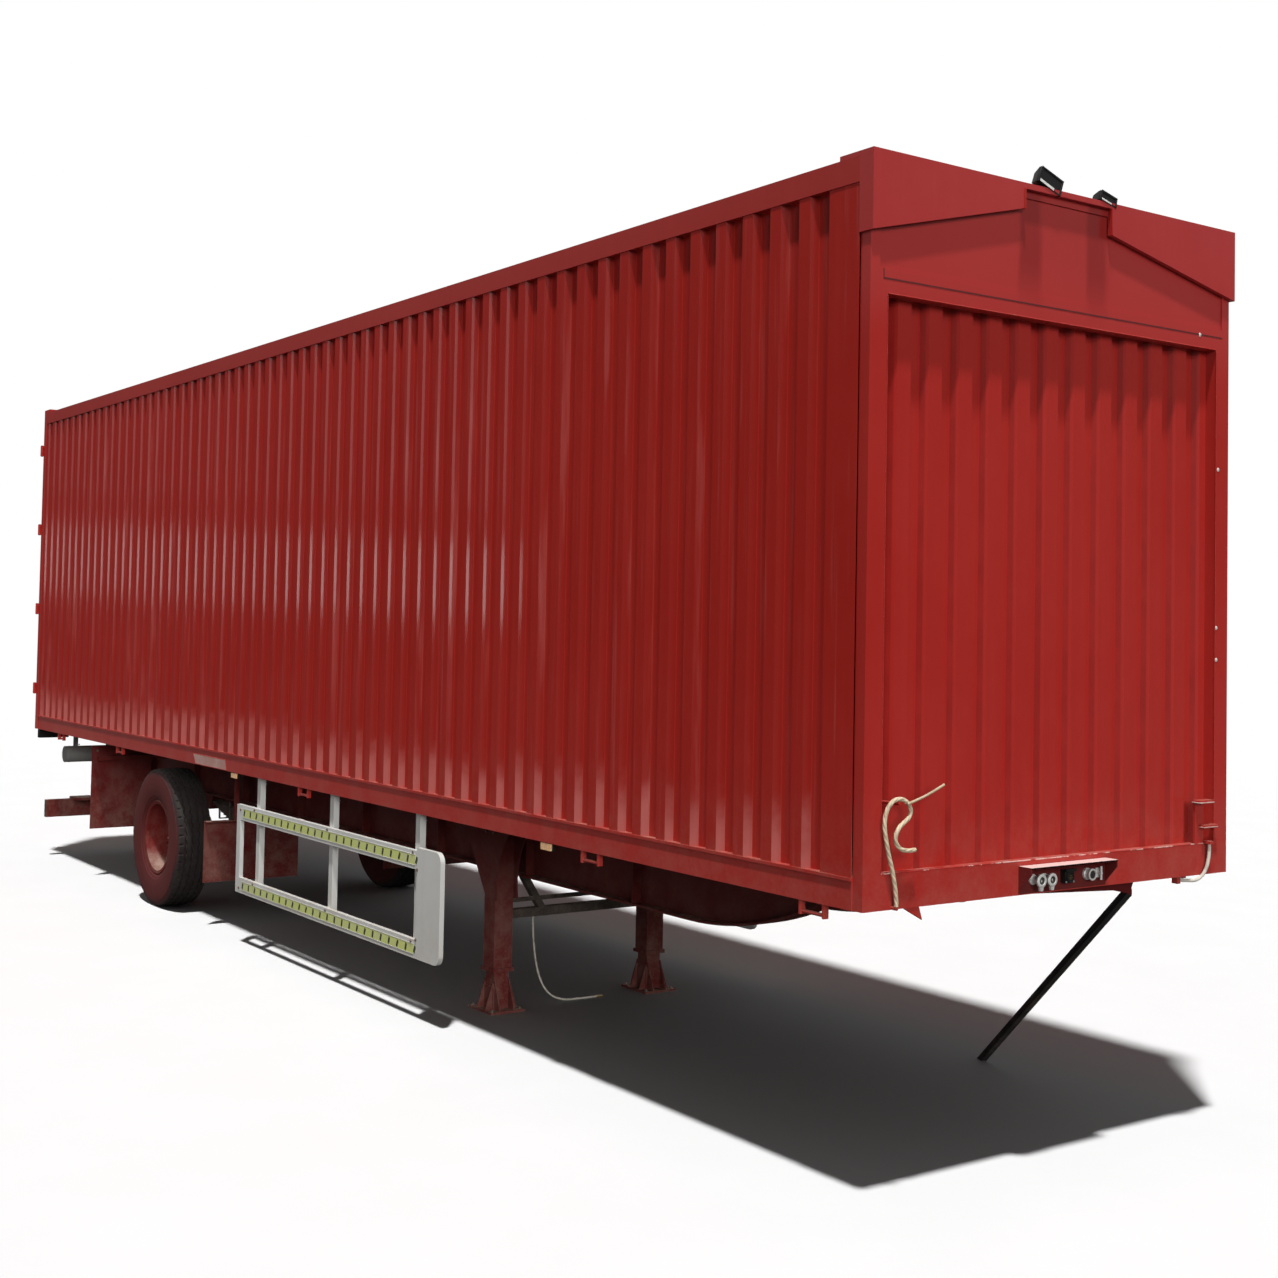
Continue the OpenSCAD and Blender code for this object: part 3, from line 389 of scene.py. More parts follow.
paints["visorPaint"] = dict(paints["framePaint"], paint=(0.385, 0.0300, 0.0290), fade=(0.460, 0.056, 0.052))
paints["rimPaint"] = dict(paints["chassisPaint"], paint=(0.120, 0.0085, 0.0080), fade=(0.160, 0.020, 0.018),
                          dust=0.20, clear=1.1, rust=0.12)


def paintBase(net, look):
    # the paint's colour with its fading, dust, chips and rust, and the masks for gloss
    colour, patch = use(net, "fadedPaint", Paint=look["paint"], Fade=look["fade"], Amount=look["amount"],
                        Runs=look["runs"])
    chip = use(net, "chips", Size=0.008, Cover=look["chips"])["Mask"]
    colour = net.mix(net.times(chip, 0.75), colour, (0.22, 0.15, 0.12))
    rusty = use(net, "rust", Colour=colour, Cover=look["rust"], Scale=7.0)
    dusty = use(net, "dust", Colour=rusty["Colour"], Full_height=look["full"], Clear_height=look["clear"],
                Amount=look["dust"], On_top=look["onTop"])
    return dusty["Colour"], net.math("MAXIMUM", dusty["Mask"], net.times(rusty["Mask"], 0.8)), patch


def finishPaint(net, shader, look, colour, dull, patch):
    net.fill(shader, Base_Color=colour)
    rough = net.plus(look["rough"], net.times(patch, 0.12))
    net.fill(shader, Roughness=net.plus(rough, net.times(dull, 0.5), clamp=True),
             Coat_Weight=net.times(look["coat"], net.minus(1.0, dull, clamp=True)), Coat_Roughness=0.07,
             Specular_IOR_Level=0.10)
    height = use(net, "sheetWaves", Wave_size=look["wave"], Peel=0.03)["Height"]
    setBump(net, shader, net.minus(height, net.times(dull, 0.02)), look["bump"], 0.02)


def paintedFinish(name, look, change=None):
    # a paint, its colour changed by a function of its own
    material, net, shader = newMaterial(name)
    colour, dull, patch = paintBase(net, look)
    finishPaint(net, shader, look, change(net, colour) if change else colour, dull, patch)
    return material


finish = {name: paintedFinish(name, look) for name, look in paints.items()}
print("paints made")


# ---- finishes that are not plain paint
def wallFinish():
    # side sheets: the body paint with worn, blotched areas, painted shade on the ribs' forward slopes, a painted
    # reflection of the bright ground at their feet and painted light in the hollows
    look = paints["bodyPaint"]
    material, net, shader = newMaterial("wallPaint")
    colour, dull, patch = paintBase(net, look)
    point = net.objectPoint()
    z = net.split(point)["Z"]
    streak = net.span(net.noise(net.scaled(point, (24, 1, 0.7)), 1.0, 3.0, 0.6), 0.54, 0.74)
    # painted shade darkens the ribs' forward slopes, and a painted reflection of the bright ground turns them pale at
    # the foot
    slope = net.span(net.split(net.add("ShaderNodeNewGeometry").outputs["True Normal"])["X"], 0.20, 0.45)
    ragged = net.plus(z, net.times(net.minus(net.noise(point, 3.5, 4.0, 0.6), 0.5), 0.5))
    foot = net.times(net.span(ragged, 1.42, 1.72, 1.0, 0.0), net.times(slope, 0.40))
    colour = net.mix(net.times(slope, 0.42), colour, (0.050, 0.003, 0.002))
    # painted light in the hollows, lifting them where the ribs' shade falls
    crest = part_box("side_wall_left")[1].y
    depth = net.math("ABSOLUTE", net.split(point)["Y"])
    hollow = net.span(depth, crest - 0.037, crest - 0.030, 1.0, 0.0)
    colour = net.mix(net.times(hollow, 0.45), colour, (0.50, 0.032, 0.024))
    # faint pale streaks of wear, together with the painted ground reflection at the ribs' feet
    streaksAndFootReflection = net.plus(net.times(streak, 0.15), foot, clamp=True)
    colour = net.mix(streaksAndFootReflection, colour, (0.56, 0.20, 0.18))
    finishPaint(net, shader, look, colour, dull, patch)
    # gloss is left on the slopes' outer edges and, less, on the flats
    outer = net.span(depth, crest - 0.017, crest - 0.011)
    net.fill(shader, Specular_IOR_Level=0.03)
    gloss = net.mix(slope, (0.10, 0.10, 0.10), net.mix(outer, (0.015, 0.015, 0.015), (0.42, 0.42, 0.42)))
    net.fill(shader, Coat_Weight=net.times(gloss, net.minus(1.0, dull, clamp=True)))
    return material


def noseSheetColour(net, colour):
    # nose sheet: painted shade darkens the ribs' side slopes, fully in the hollows behind the crests
    side = net.math("ABSOLUTE", net.split(net.add("ShaderNodeNewGeometry").outputs["True Normal"])["Y"])
    deep = net.span(net.split(net.objectPoint())["X"], noseX - 0.020, noseX - 0.010, 1.0, 0.15)
    side = net.times(side, deep)
    cloud = net.span(net.noise(net.objectPoint(), 5.0, 4.0, 0.6), 0.3, 0.7, 0.22, 0.40)
    return net.mix(net.times(net.span(side, 0.1, 0.5), cloud), colour, (0.10, 0.006, 0.006))


def noseColour(net, colour):
    # frame paint bleached high up, with painted shadows of the two lamps as dark bands below them and a painted
    # shadow under the visor's middle
    point = net.objectPoint()
    part = net.split(point)
    bleached = net.times(net.span(part["Z"], 3.62, 3.90), 0.55)
    colour = net.mix(bleached, colour, (0.43, 0.046, 0.044))
    ragged = net.times(net.minus(net.noise(net.scaled(point, (1, 9, 2)), 1.0, 4.0, 0.6), 0.5), 0.06)
    y = net.plus(part["Y"], ragged)
    high = net.span(part["Z"], 3.86, 4.10, 0.25, 1.0)
    total = 0.0
    # painted shadows of the two lamps, as upright bands
    for start, end in ((-0.300, -0.165), (0.150, 0.292)):
        band = net.times(net.span(y, start - 0.02, start + 0.02), net.span(y, end - 0.03, end + 0.03, 1.0, 0.0))
        total = net.plus(total, band)
    lampShadows = net.times(net.times(total, high), net.span(part["Z"], 3.80, 3.92), clamp=True)
    colour = net.mix(net.times(lampShadows, 0.50), colour, (0.150, 0.008, 0.008))
    # painted shadow in the middle, below the visor's centre bay
    middle = net.times(net.span(net.math("ABSOLUTE", part["Y"]), 0.05, 0.5, 1.0, 0.0), net.span(part["Z"], 3.9, 4.3))
    return net.mix(net.times(middle, 0.12), colour, (0.150, 0.008, 0.008))


def wornHighlightLine(name, pale, cover):
    # paint scraped through in broken lengths along a straight edge, pale also as a painted highlight where the edge
    # catches the light
    material, net, shader = newMaterial(name)
    point = net.objectPoint()
    broken = net.span(net.noise(net.scaled(point, (1, 1, 0.2)), 9.0, 5.0, 0.7), 0.62 - cover * 0.25,
                      0.70 - cover * 0.25)
    net.fill(shader, Base_Color=net.mix(broken, paints["framePaint"]["paint"], pale), Roughness=0.42)
    return material


def propColour(net, colour):
    # black bar under a head plate in body red
    part = net.split(net.objectPoint())
    plate = net.times(net.span(part["Z"], 1.183, 1.187), net.span(part["X"], noseX - 0.002, noseX - 0.001))
    return net.mix(plate, colour, (0.085, 0.008, 0.008))


def plainFinish(name, colour, rough, metal=0.0, second=None, scale=30.0, bump=0.05, dust=0.2, level=0.5):
    # one colour that varies a little, with dust and a fine grain
    material, net, shader = newMaterial(name)
    point = net.objectPoint()
    vary = net.span(net.noise(point, scale, 4.0, 0.6), 0.30, 0.72)
    tone = net.mix(vary, colour, second or tuple(min(1.0, c * 1.5 + 0.01) for c in colour))
    dusty = use(net, "dust", Colour=tone, Full_height=0.1, Clear_height=1.6, Amount=dust, On_top=dust)
    net.fill(shader, Base_Color=dusty["Colour"])
    rougher = net.plus(net.times(vary, 0.12), net.times(dusty["Mask"], 0.3))
    net.fill(shader, Roughness=net.plus(rough, rougher, clamp=True), Metallic=metal, Specular_IOR_Level=level)
    setBump(net, shader, net.noise(point, scale * 8, 3.0, 0.6), bump, 0.004)
    return material


def boardFinish():
    # worn floor boards along the trailer, each with its own tone
    boardWidth, gap = 0.145, 0.03
    material, net, shader = newMaterial("floorWood")
    point = net.objectPoint()
    part = net.split(point)
    across = net.math("DIVIDE", part["Y"], boardWidth)
    number = net.math("FLOOR", across)
    tone = net.add("ShaderNodeTexWhiteNoise", {"noise_dimensions": "1D"}, W=number).outputs["Value"]
    inside = net.math("FRACT", across)
    edge = net.math("MINIMUM", inside, net.minus(1.0, inside))
    seam = net.span(edge, 0.0, gap, 1.0, 0.0)
    shifted = net.add("ShaderNodeCombineXYZ", X=net.times(part["X"], 1.3), Y=net.times(part["Y"], 26.0),
                      Z=net.times(tone, 9.0)).outputs[0]
    grain = net.noise(shifted, 2.2, 6.0, 0.65, 0.4)
    wood = net.mix(net.span(grain, 0.3, 0.7), (0.20, 0.12, 0.065), (0.38, 0.26, 0.15))
    wood = net.mix(net.times(tone, 0.35), wood, (0.16, 0.12, 0.09))
    scuff = net.span(net.noise(net.scaled(point, (0.8, 3.0, 1.0)), 3.0, 5.0, 0.7), 0.52, 0.75)
    wood = net.mix(net.times(scuff, 0.5), wood, (0.36, 0.32, 0.27))
    net.fill(shader, Base_Color=net.mix(seam, wood, (0.02, 0.016, 0.012)),
             Roughness=net.plus(0.62, net.times(scuff, 0.25)), Specular_IOR_Level=0.3)
    setBump(net, shader, net.minus(net.times(grain, 0.4), seam), 0.5, 0.004)
    return material


def tyreFinish():
    # black rubber, red overspray on the sidewalls that thins out towards the shoulder, grey dusty tread
    axleLow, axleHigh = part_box("tyre_right")
    hubX, hubZ = (axleLow.x + axleHigh.x) / 2, (axleLow.z + axleHigh.z) / 2
    material, net, shader = newMaterial("tyreRubber")
    point = net.objectPoint()
    part = net.split(point)
    away = net.add("ShaderNodeCombineXYZ", X=net.minus(part["X"], hubX), Z=net.minus(part["Z"], hubZ))
    radius = net.add("ShaderNodeVectorMath", {"operation": "LENGTH"}, Vector=away.outputs[0]).outputs["Value"]
    cloud = net.noise(point, 5.0, 5.0, 0.6)
    fine = net.noise(point, 60.0, 3.0, 0.6)
    rubber = net.mix(net.span(fine, 0.3, 0.7), (0.012, 0.011, 0.011), (0.030, 0.026, 0.025))
    reach = net.plus(radius, net.times(net.minus(cloud, 0.5), 0.10))
    spray = net.times(net.span(reach, 0.49, 0.565, 0.92, 0.0), net.span(fine, 0.15, 0.60, 0.80, 1.0))
    sprayed = net.mix(spray, rubber, (0.088, 0.011, 0.010))
    tread = net.span(radius, 0.545, 0.562)
    road = net.mix(net.span(cloud, 0.35, 0.7), (0.017, 0.014, 0.013), (0.036, 0.029, 0.026))
    dusted = net.mix(net.times(tread, 0.8), sprayed, road)
    rings = net.add("ShaderNodeTexWave", {"wave_type": "RINGS", "rings_direction": "Y"}, Vector=away.outputs[0],
                    Scale=26.0)
    net.fill(shader, Base_Color=dusted, Roughness=net.plus(0.66, net.times(cloud, 0.25), clamp=True),
             Specular_IOR_Level=0.3)
    wall = net.times(net.minus(1.0, tread), rings.outputs["Fac"])
    setBump(net, shader, net.plus(net.times(wall, 0.5), fine), 0.25, 0.003)
    return material


def ropeFinish(name, pale, dark, turns, bump):
    # laid strands follow the piece's own length and girth
    material, net, shader = newMaterial(name)
    part = net.split(net.add("ShaderNodeUVMap").outputs[0])
    lay = net.math("FRACT", net.plus(net.times(part["X"], turns), net.times(part["Y"], 3.0)))
    strand = net.math("SINE", net.times(lay, math.pi))
    grubby = net.span(net.noise(net.objectPoint(), 24.0, 4.0, 0.6), 0.40, 0.75)
    tone = net.mix(net.times(grubby, 0.55), pale, dark)
    # painted shade darkens the grooves between the strands
    net.fill(shader, Base_Color=net.mix(net.span(strand, 0.0, 0.45, 0.35 * min(1.0, bump * 2), 0.0), tone, dark),
             Roughness=0.75, Specular_IOR_Level=0.3)
    setBump(net, shader, strand, bump, 0.004)
    return material


def reflectorFinish():
    # yellow-green sheeting with a fine honeycomb
    material, net, shader = newMaterial("reflectorSheet")
    point = net.objectPoint()
    cell = net.add("ShaderNodeTexVoronoi", Vector=point, Scale=160.0).outputs["Distance"]
    dirt = net.span(net.noise(point, 7.0, 5.0, 0.7), 0.42, 0.72)
    tone = net.mix(net.span(cell, 0.2, 0.6, 0.0, 0.35), (0.60, 0.66, 0.16), (0.74, 0.78, 0.36))
    net.fill(shader, Base_Color=net.mix(net.times(dirt, 0.55), tone, (0.60, 0.58, 0.42)), Roughness=0.30,
             Coat_Weight=0.3)
    setBump(net, shader, cell, 0.10, 0.001)
    return material


def lensFinish(name, deep, bright, rough=0.14):
    material, net, shader = newMaterial(name)
    point = net.objectPoint()
    facet = net.add("ShaderNodeTexVoronoi", Vector=point, Scale=120.0).outputs["Distance"]
    dirt = net.span(net.noise(point, 30.0, 4.0, 0.6), 0.5, 0.8)
    net.fill(shader, Base_Color=net.mix(dirt, net.mix(net.span(facet, 0.1, 0.6), deep, bright), (0.35, 0.28, 0.22)),
             Roughness=net.plus(rough, net.times(dirt, 0.3)), Coat_Weight=0.5)
    setBump(net, shader, facet, 0.15, 0.001)
    return material


finish["wallPaint"] = wallFinish()
finish["noseSheetPaint"] = paintedFinish("noseSheetPaint", paints["framePaint"], noseSheetColour)
finish["nosePaint"] = paintedFinish("nosePaint", paints["framePaint"], noseColour)
finish["wornHighlightLine"] = wornHighlightLine("wornHighlightLine", (0.72, 0.46, 0.42), 0.5)
finish["scrapedHighlightEdge"] = wornHighlightLine("scrapedHighlightEdge", (0.78, 0.58, 0.54), 1.2)
finish["propPaint"] = paintedFinish("propPaint", paints["blackPaint"], propColour)
finish["floorWood"] = boardFinish()
finish["tyreRubber"] = tyreFinish()
finish["rope"] = ropeFinish("ropeFibre", (0.66, 0.55, 0.38), (0.26, 0.18, 0.11), 26.0, 0.6)
finish["paleHose"] = ropeFinish("paleHose", (0.62, 0.58, 0.50), (0.26, 0.23, 0.19), 60.0, 0.1)
finish["reflector"] = reflectorFinish()
for name, deep, bright in (("amberLens", (0.78, 0.34, 0.12), (0.92, 0.56, 0.28)),
                           ("redLens", (0.34, 0.008, 0.006), (0.60, 0.03, 0.02)),
                           ("clearLens", (0.62, 0.62, 0.58), (0.85, 0.84, 0.80))):
    finish[name] = lensFinish(name, deep, bright)

# name, colour, roughness, how metallic, second colour, scale of the grain, bump, dust, gloss level
plain = (
    ("seamShade", (0.075, 0.006, 0.006), 0.6, 0.0, (0.11, 0.010, 0.009), 30.0, 0.05, 0.0),
    ("darkGlass", (0.005, 0.005, 0.006), 0.28, 0.0, (0.010, 0.010, 0.011), 12.0, 0.0, 0.05, 0.2),
    ("blackPlastic", (0.006, 0.006, 0.006), 0.50, 0.0, (0.012, 0.011, 0.011), 40.0, 0.05, 0.08, 0.25),
    ("blackRubber", (0.018, 0.017, 0.016), 0.70, 0.0, None, 50.0, 0.05, 0.3, 0.25),
    ("zincSteel", (0.42, 0.42, 0.41), 0.38, 0.85, (0.60, 0.60, 0.58), 14.0, 0.06, 0.15),
    ("castMetal", (0.70, 0.69, 0.67), 0.42, 0.45, (0.84, 0.83, 0.80), 22.0, 0.10, 0.05),
    ("brass", (0.52, 0.38, 0.16), 0.35, 0.85, (0.36, 0.25, 0.11), 22.0, 0.08, 0.15),
    ("greasySteel", (0.07, 0.055, 0.045), 0.40, 0.55, (0.15, 0.12, 0.10), 10.0, 0.15, 0.15),
    ("boltSteel", (0.16, 0.14, 0.125), 0.50, 0.60, (0.26, 0.17, 0.11), 40.0, 0.2, 0.25),
    ("dividerPaint", (0.022, 0.026, 0.010), 0.6, 0.0, None, 30.0, 0.05, 0.0),
    ("whitePaint", (0.70, 0.69, 0.65), 0.45, 0.0, (0.50, 0.48, 0.43), 20.0),
    ("paleTopHighlight", (0.46, 0.20, 0.17), 0.42, 0.0, (0.62, 0.50, 0.46), 26.0, 0.05, 0.1),
    ("patchPaint", (0.42, 0.20, 0.17), 0.50, 0.0, (0.52, 0.36, 0.32), 5.0))
for row in plain:
    finish[row[0]] = plainFinish(*row)
print("finishes made")

nodeFinish = {
    "wallPaint": ("side_wall_left", "side_wall_right"),
    "noseSheetPaint": ("nose_wall",),
    "bodyPaint": ("roof_panel", "top_rails", "rear_door_left", "rear_door_right"),
    "visorPaint": ("nose_visor",),
    "framePaint": ("bottom_rails", "rear_frame"),
    "nosePaint": ("nose_frame",),
    "chassisPaint": ("main_beam_left", "main_beam_right", "cross_members", "connector_box", "rear_bumper",
                     "mud_plates", "landing_leg_left", "landing_leg_right", "landing_foot_left", "landing_foot_right",
                     "spring_hangers"),
    "floorWood": ("floor_boards",),
    "greasySteel": ("coupler_plate",),
    "zincSteel": ("lock_bars_left", "lock_bars_right"),
    "tankPaint": ("air_tank",),
    "darkSteel": ("leg_brace", "axle_beam", "hub_left", "hub_right"),
    "springSteel": ("leaf_springs",),
    "guardPaint": ("side_guard_left", "side_guard_right"),
    "propPaint": ("nose_prop",),
    "brass": ("hose_coupling",), }


def dressNodes():
    for name, members in nodeFinish.items():
        for member in members:
            mesh = nodes[member].data
            mesh.materials.clear()
            mesh.materials.append(finish[name])


dressNodes()


# ---- making shapes
def spokes(axis, count):
    # directions all round an axis
    side = axis.orthogonal().normalized()
    other = axis.cross(side)
    turns = [2 * math.pi * k / count for k in range(count)]
    return [math.cos(turn) * side + math.sin(turn) * other for turn in turns]


def quads(rings, n, closed=False):
    # faces from each ring of n points to the next
    return [(k * n + i, k * n + (i + 1) % n, (k + 1) % rings * n + (i + 1) % n, (k + 1) % rings * n + i)
            for k in range(rings if closed else rings - 1) for i in range(n)]


def lids(rings, n):
    # faces that close the first and the last ring
    return [tuple(reversed(range(n))), tuple(range((rings - 1) * n, rings * n))]


class Shape:
    # gathers closed solids into one piece
    def __init__(self):
        self.points, self.faces, self.placing = [], [], Matrix.Identity(4)

    def add(self, points, faces):
        start = len(self.points)
        self.points += [self.placing @ Vector(p) for p in points]
        self.faces += [tuple(start + i for i in face) for face in faces]

    def block(self, low, high):
        x, y, z = zip(low, high)
        corners = [(x[i], y[j], z[k]) for i in (0, 1) for j in (0, 1) for k in (0, 1)]
        self.add(corners, [(0, 1, 3, 2), (4, 6, 7, 5), (0, 4, 5, 1), (2, 3, 7, 6), (0, 2, 6, 4), (1, 5, 7, 3)])

    def slab(self, outline, axis, start, end):
        # a flat outline given thickness along one axis
        spot = {"x": lambda u, v, w: (w, u, v), "y": lambda u, v, w: (u, w, v), "z": lambda u, v, w: (u, v, w)}[axis]
        n = len(outline)
        points = [spot(u, v, w) for w in (start, end) for u, v in outline]
        self.add(points, lids(2, n) + quads(2, n))

    def turn(self, centre, axis, profile, steps=40):
        # a closed profile of (radius, height) turned about an axis
        axis, centre = Vector(axis).normalized(), Vector(centre)
        points = [centre + r * ray + h * axis for ray in spokes(axis, steps) for r, h in profile]
        self.add(points, quads(steps, len(profile), True))

    def bar(self, start, end, radius, sides=20):
        start, end = Vector(start), Vector(end)
        rays = spokes((end - start).normalized(), sides)
        self.add([spot + radius * ray for spot in (start, end) for ray in rays], lids(2, sides) + quads(2, sides))

    def sweep(self, route, radius, sides=10):
        points, faces = sweptTube([Vector(p) for p in route], radius, sides)[:2]
        self.add(points, faces)

    def build(self, name, material, bevel=0.0, smooth=35):
        mesh = bpy.data.meshes.new(name)
        mesh.from_pydata([tuple(p) for p in self.points], [], self.faces)
        tidy = bmesh.new()
        tidy.from_mesh(mesh)
        bmesh.ops.remove_doubles(tidy, verts=tidy.verts, dist=1e-6)
        bmesh.ops.recalc_face_normals(tidy, faces=tidy.faces)
        tidy.to_mesh(mesh)
        tidy.free()
        return finishPiece(name, mesh, material, bevel, smooth)


def finishPiece(name, mesh, material, bevel=0.0, smooth=35):
    mesh.materials.clear()
    mesh.materials.append(finish[material])
    if smooth:
        mesh.shade_smooth()
        mesh.set_sharp_from_angle(angle=math.radians(smooth))
    piece = bpy.data.objects.new(name, mesh)
    bpy.context.scene.collection.objects.link(piece)
    if bevel:
        rounding = piece.modifiers.new("rounding", "BEVEL")
        rounding.width, rounding.segments = bevel, 2
        rounding.limit_method, rounding.angle_limit = "ANGLE", math.radians(40)
    return piece


def sweptTube(route, radius, sides):
    # points, faces and the length and girth of each point along a route, with capped ends
    frames, side = [], None
    for i, spot in enumerate(route):
        along = (route[min(i + 1, len(route) - 1)] - route[max(i - 1, 0)]).normalized()
        side = along.orthogonal().normalized() if side is None else (side - side.dot(along) * along).normalized()
        frames.append((spot, side, along.cross(side)))
    turns = [2 * math.pi * k / sides for k in range(sides)]
    points = [spot + radius * (math.cos(turn) * a + math.sin(turn) * b) for spot, a, b in frames for turn in turns]
    faces = quads(len(route), sides) + lids(len(route), sides)
    reach = [0.0]
    for a, b in zip(route, route[1:]):
        reach.append(reach[-1] + (b - a).length)
    return points, faces, reach


def smoothRoute(points, step):
    # a smooth line through the points, evenly divided
    points = [Vector(p) for p in points]
    padded = [2 * points[0] - points[1], *points, 2 * points[-1] - points[-2]]
    fine = []
    for i in range(1, len(padded) - 2):
        a, b, c, d = padded[i - 1:i + 3]
        for t in np.linspace(0, 1, 12, endpoint=False):
            fine.append(0.5 * (2 * b + (c - a) * t + (2 * a - 5 * b + 4 * c - d) * t ** 2
                               + (3 * b - a - 3 * c + d) * t ** 3))
    fine.append(points[-1])
    lengths = np.concatenate([[0], np.cumsum([(q - p).length for p, q in zip(fine, fine[1:])])])
    wanted = np.linspace(0, lengths[-1], max(8, int(lengths[-1] / step)))
    table = np.array([tuple(p) for p in fine])
    return [Vector([float(np.interp(w, lengths, table[:, k])) for k in range(3)]) for w in wanted]


def addCord(name, body, route, diameter, material, stands, sides=14, step=0.008, **facts):
    # a hose or rope with its length and girth as its own map
    line = smoothRoute(route, step)
    points, faces, reach = sweptTube(line, diameter / 2, sides)
    mesh = bpy.data.meshes.new(name)
    mesh.from_pydata([tuple(p) for p in points], [], faces)
    layer = mesh.uv_layers.new(name="lay")
    for face in mesh.polygons:
        wraps = {i % sides for i in face.vertices} == {0, sides - 1}
        for loop, vertex in zip(face.loop_indices, face.vertices):
            girth = vertex % sides
            layer.data[loop].uv = (reach[vertex // sides], (sides if wraps and girth == 0 else girth) / sides)
    piece = finishPiece(name, mesh, material, 0, 60)
    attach(piece, body)
    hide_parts(stands)
    return piece


# ---- rope and hoses
ropeRoute = [(86, -1040, 1266), (86, -1041, 1290), (89, -1052, 1350), (90, -1070, 1420), (90, -1089, 1480),
             (90, -1105, 1540),
             (90, -1114, 1590), (90, -1113, 1635), (91, -1100, 1673), (92, -1074, 1701), (92, -1042, 1711),
             (92, -1010, 1706),
             (92, -984, 1689), (93, -971, 1666), (95, -976, 1642), (98, -996, 1624), (101, -1022, 1610),
             (103, -1046, 1593),
             (104, -1062, 1570), (104, -1066, 1545), (104, -1055, 1521), (103, -1033, 1505), (102, -1006, 1498),
             (101, -978, 1496), (100, -950, 1497)]
noseHoseRoute = [(85, 1040, 1400), (85, 1040, 1372), (84, 1036, 1330), (82, 1026, 1292), (79, 1008, 1262),
                 (74, 984, 1240), (66, 956, 1228), (50, 936, 1226), (34, 919, 1226), (24, 900, 1226), (24, 880, 1226)]
legHoseRoute = [(-3925, -330, 555), (-3925, -330, 520), (-3924, -328, 470), (-3923, -324, 410), (-3921, -318, 350),
                (-3919, -310, 290), (-3917, -298, 230), (-3915, -282, 175), (-3912, -260, 125), (-3909, -232, 82),
                (-3905, -198, 50), (-3901, -160, 28), (-3897, -120, 15), (-3893, -78, 9), (-3889, -36, 8),
                (-3885, 6, 8), (-3881, 48, 8), (-3878, 90, 8), (-3878, 130, 8)]
cordPiece = {"ropeAcross": 0.0188, "noseHoseAcross": 0.0170, "legHoseAcross": 0.0130}


def inFrame(route):
    return [at(x / 1000, y / 1000, z / 1000) for x, y, z in route]


addCord("nose_rope_laid", "trailer", inFrame(ropeRoute), cordPiece["ropeAcross"], "rope", "nose_rope",
        far_end="bare", stiffness="limp", lay="hanging")
addCord("nose_hose_tube", "trailer", inFrame(noseHoseRoute), cordPiece["noseHoseAcross"], "paleHose", "nose_hose",
        far_end="object", stiffness="medium", lay="hanging")
addCord("leg_hose_tube", "trailer", inFrame(legHoseRoute), cordPiece["legHoseAcross"], "paleHose", "leg_hose",
        far_end="fitting", stiffness="limp", lay="loose", with_pieces=[nodes["hose_coupling"]])
print("rope and hoses made")


# ---- small parts spread by Geometry Nodes
class GeoNet(Net):
    def __init__(self, name, inputs):
        super().__init__(bpy.data.node_groups.new(name, "GeometryNodeTree"))
        sockets = self.tree.interface
        sockets.new_socket(name="Geometry", in_out="INPUT", socket_type="NodeSocketGeometry")
        self.ids = {}
        for label, (kind, start) in inputs.items():
            socket = sockets.new_socket(name=label, in_out="INPUT", socket_type="NodeSocket" + kind)
            if start is not None:
                socket.default_value = start
            self.ids[label] = socket.identifier
        sockets.new_socket(name="Geometry", in_out="OUTPUT", socket_type="NodeSocketGeometry")
        self.given = self.add("NodeGroupInput").outputs

    def finish(self, instances):
        real = self.add("GeometryNodeRealizeInstances", Geometry=instances).outputs[0]
        painted = self.add("GeometryNodeSetMaterial", Geometry=real, Material=self.given["Material"]).outputs[0]
        self.tree.links.new(painted, self.add("NodeGroupOutput").inputs[0])


def chance(net, low, high, seed):
    node = net.add("FunctionNodeRandomValue", {"data_type": "FLOAT"})
    for socket, value in ((2, low), (3, high), ("Seed", seed)):
        node.inputs[socket].default_value = value
    return node.outputs[1]


def vectorSum(net, first, second):
    node = net.add("ShaderNodeVectorMath", {"operation": "ADD"})
    net.feed(node.inputs[0], first)
    net.feed(node.inputs[1], second)
    return node.outputs[0]


def facingRotation(net, seed):
    # turns each part's Z along the stored facing, with its own twist about it
    facing = net.add("GeometryNodeInputNamedAttribute", {"data_type": "FLOAT_VECTOR"}, Name="facing").outputs[0]
    aligned = net.add("FunctionNodeAlignRotationToVector", {"axis": "Z"}, Vector=facing).outputs[0]
    turn = net.add("ShaderNodeCombineXYZ", Z=chance(net, 0.0, 6.283, seed)).outputs[0]
    euler = net.add("FunctionNodeEulerToRotation", Euler=turn).outputs[0]
    rotate = net.add("FunctionNodeRotateRotation", {"rotation_space": "LOCAL"})
    net.feed(rotate.inputs[0], aligned)
    net.feed(rotate.inputs[1], euler)
    return rotate.outputs[0]


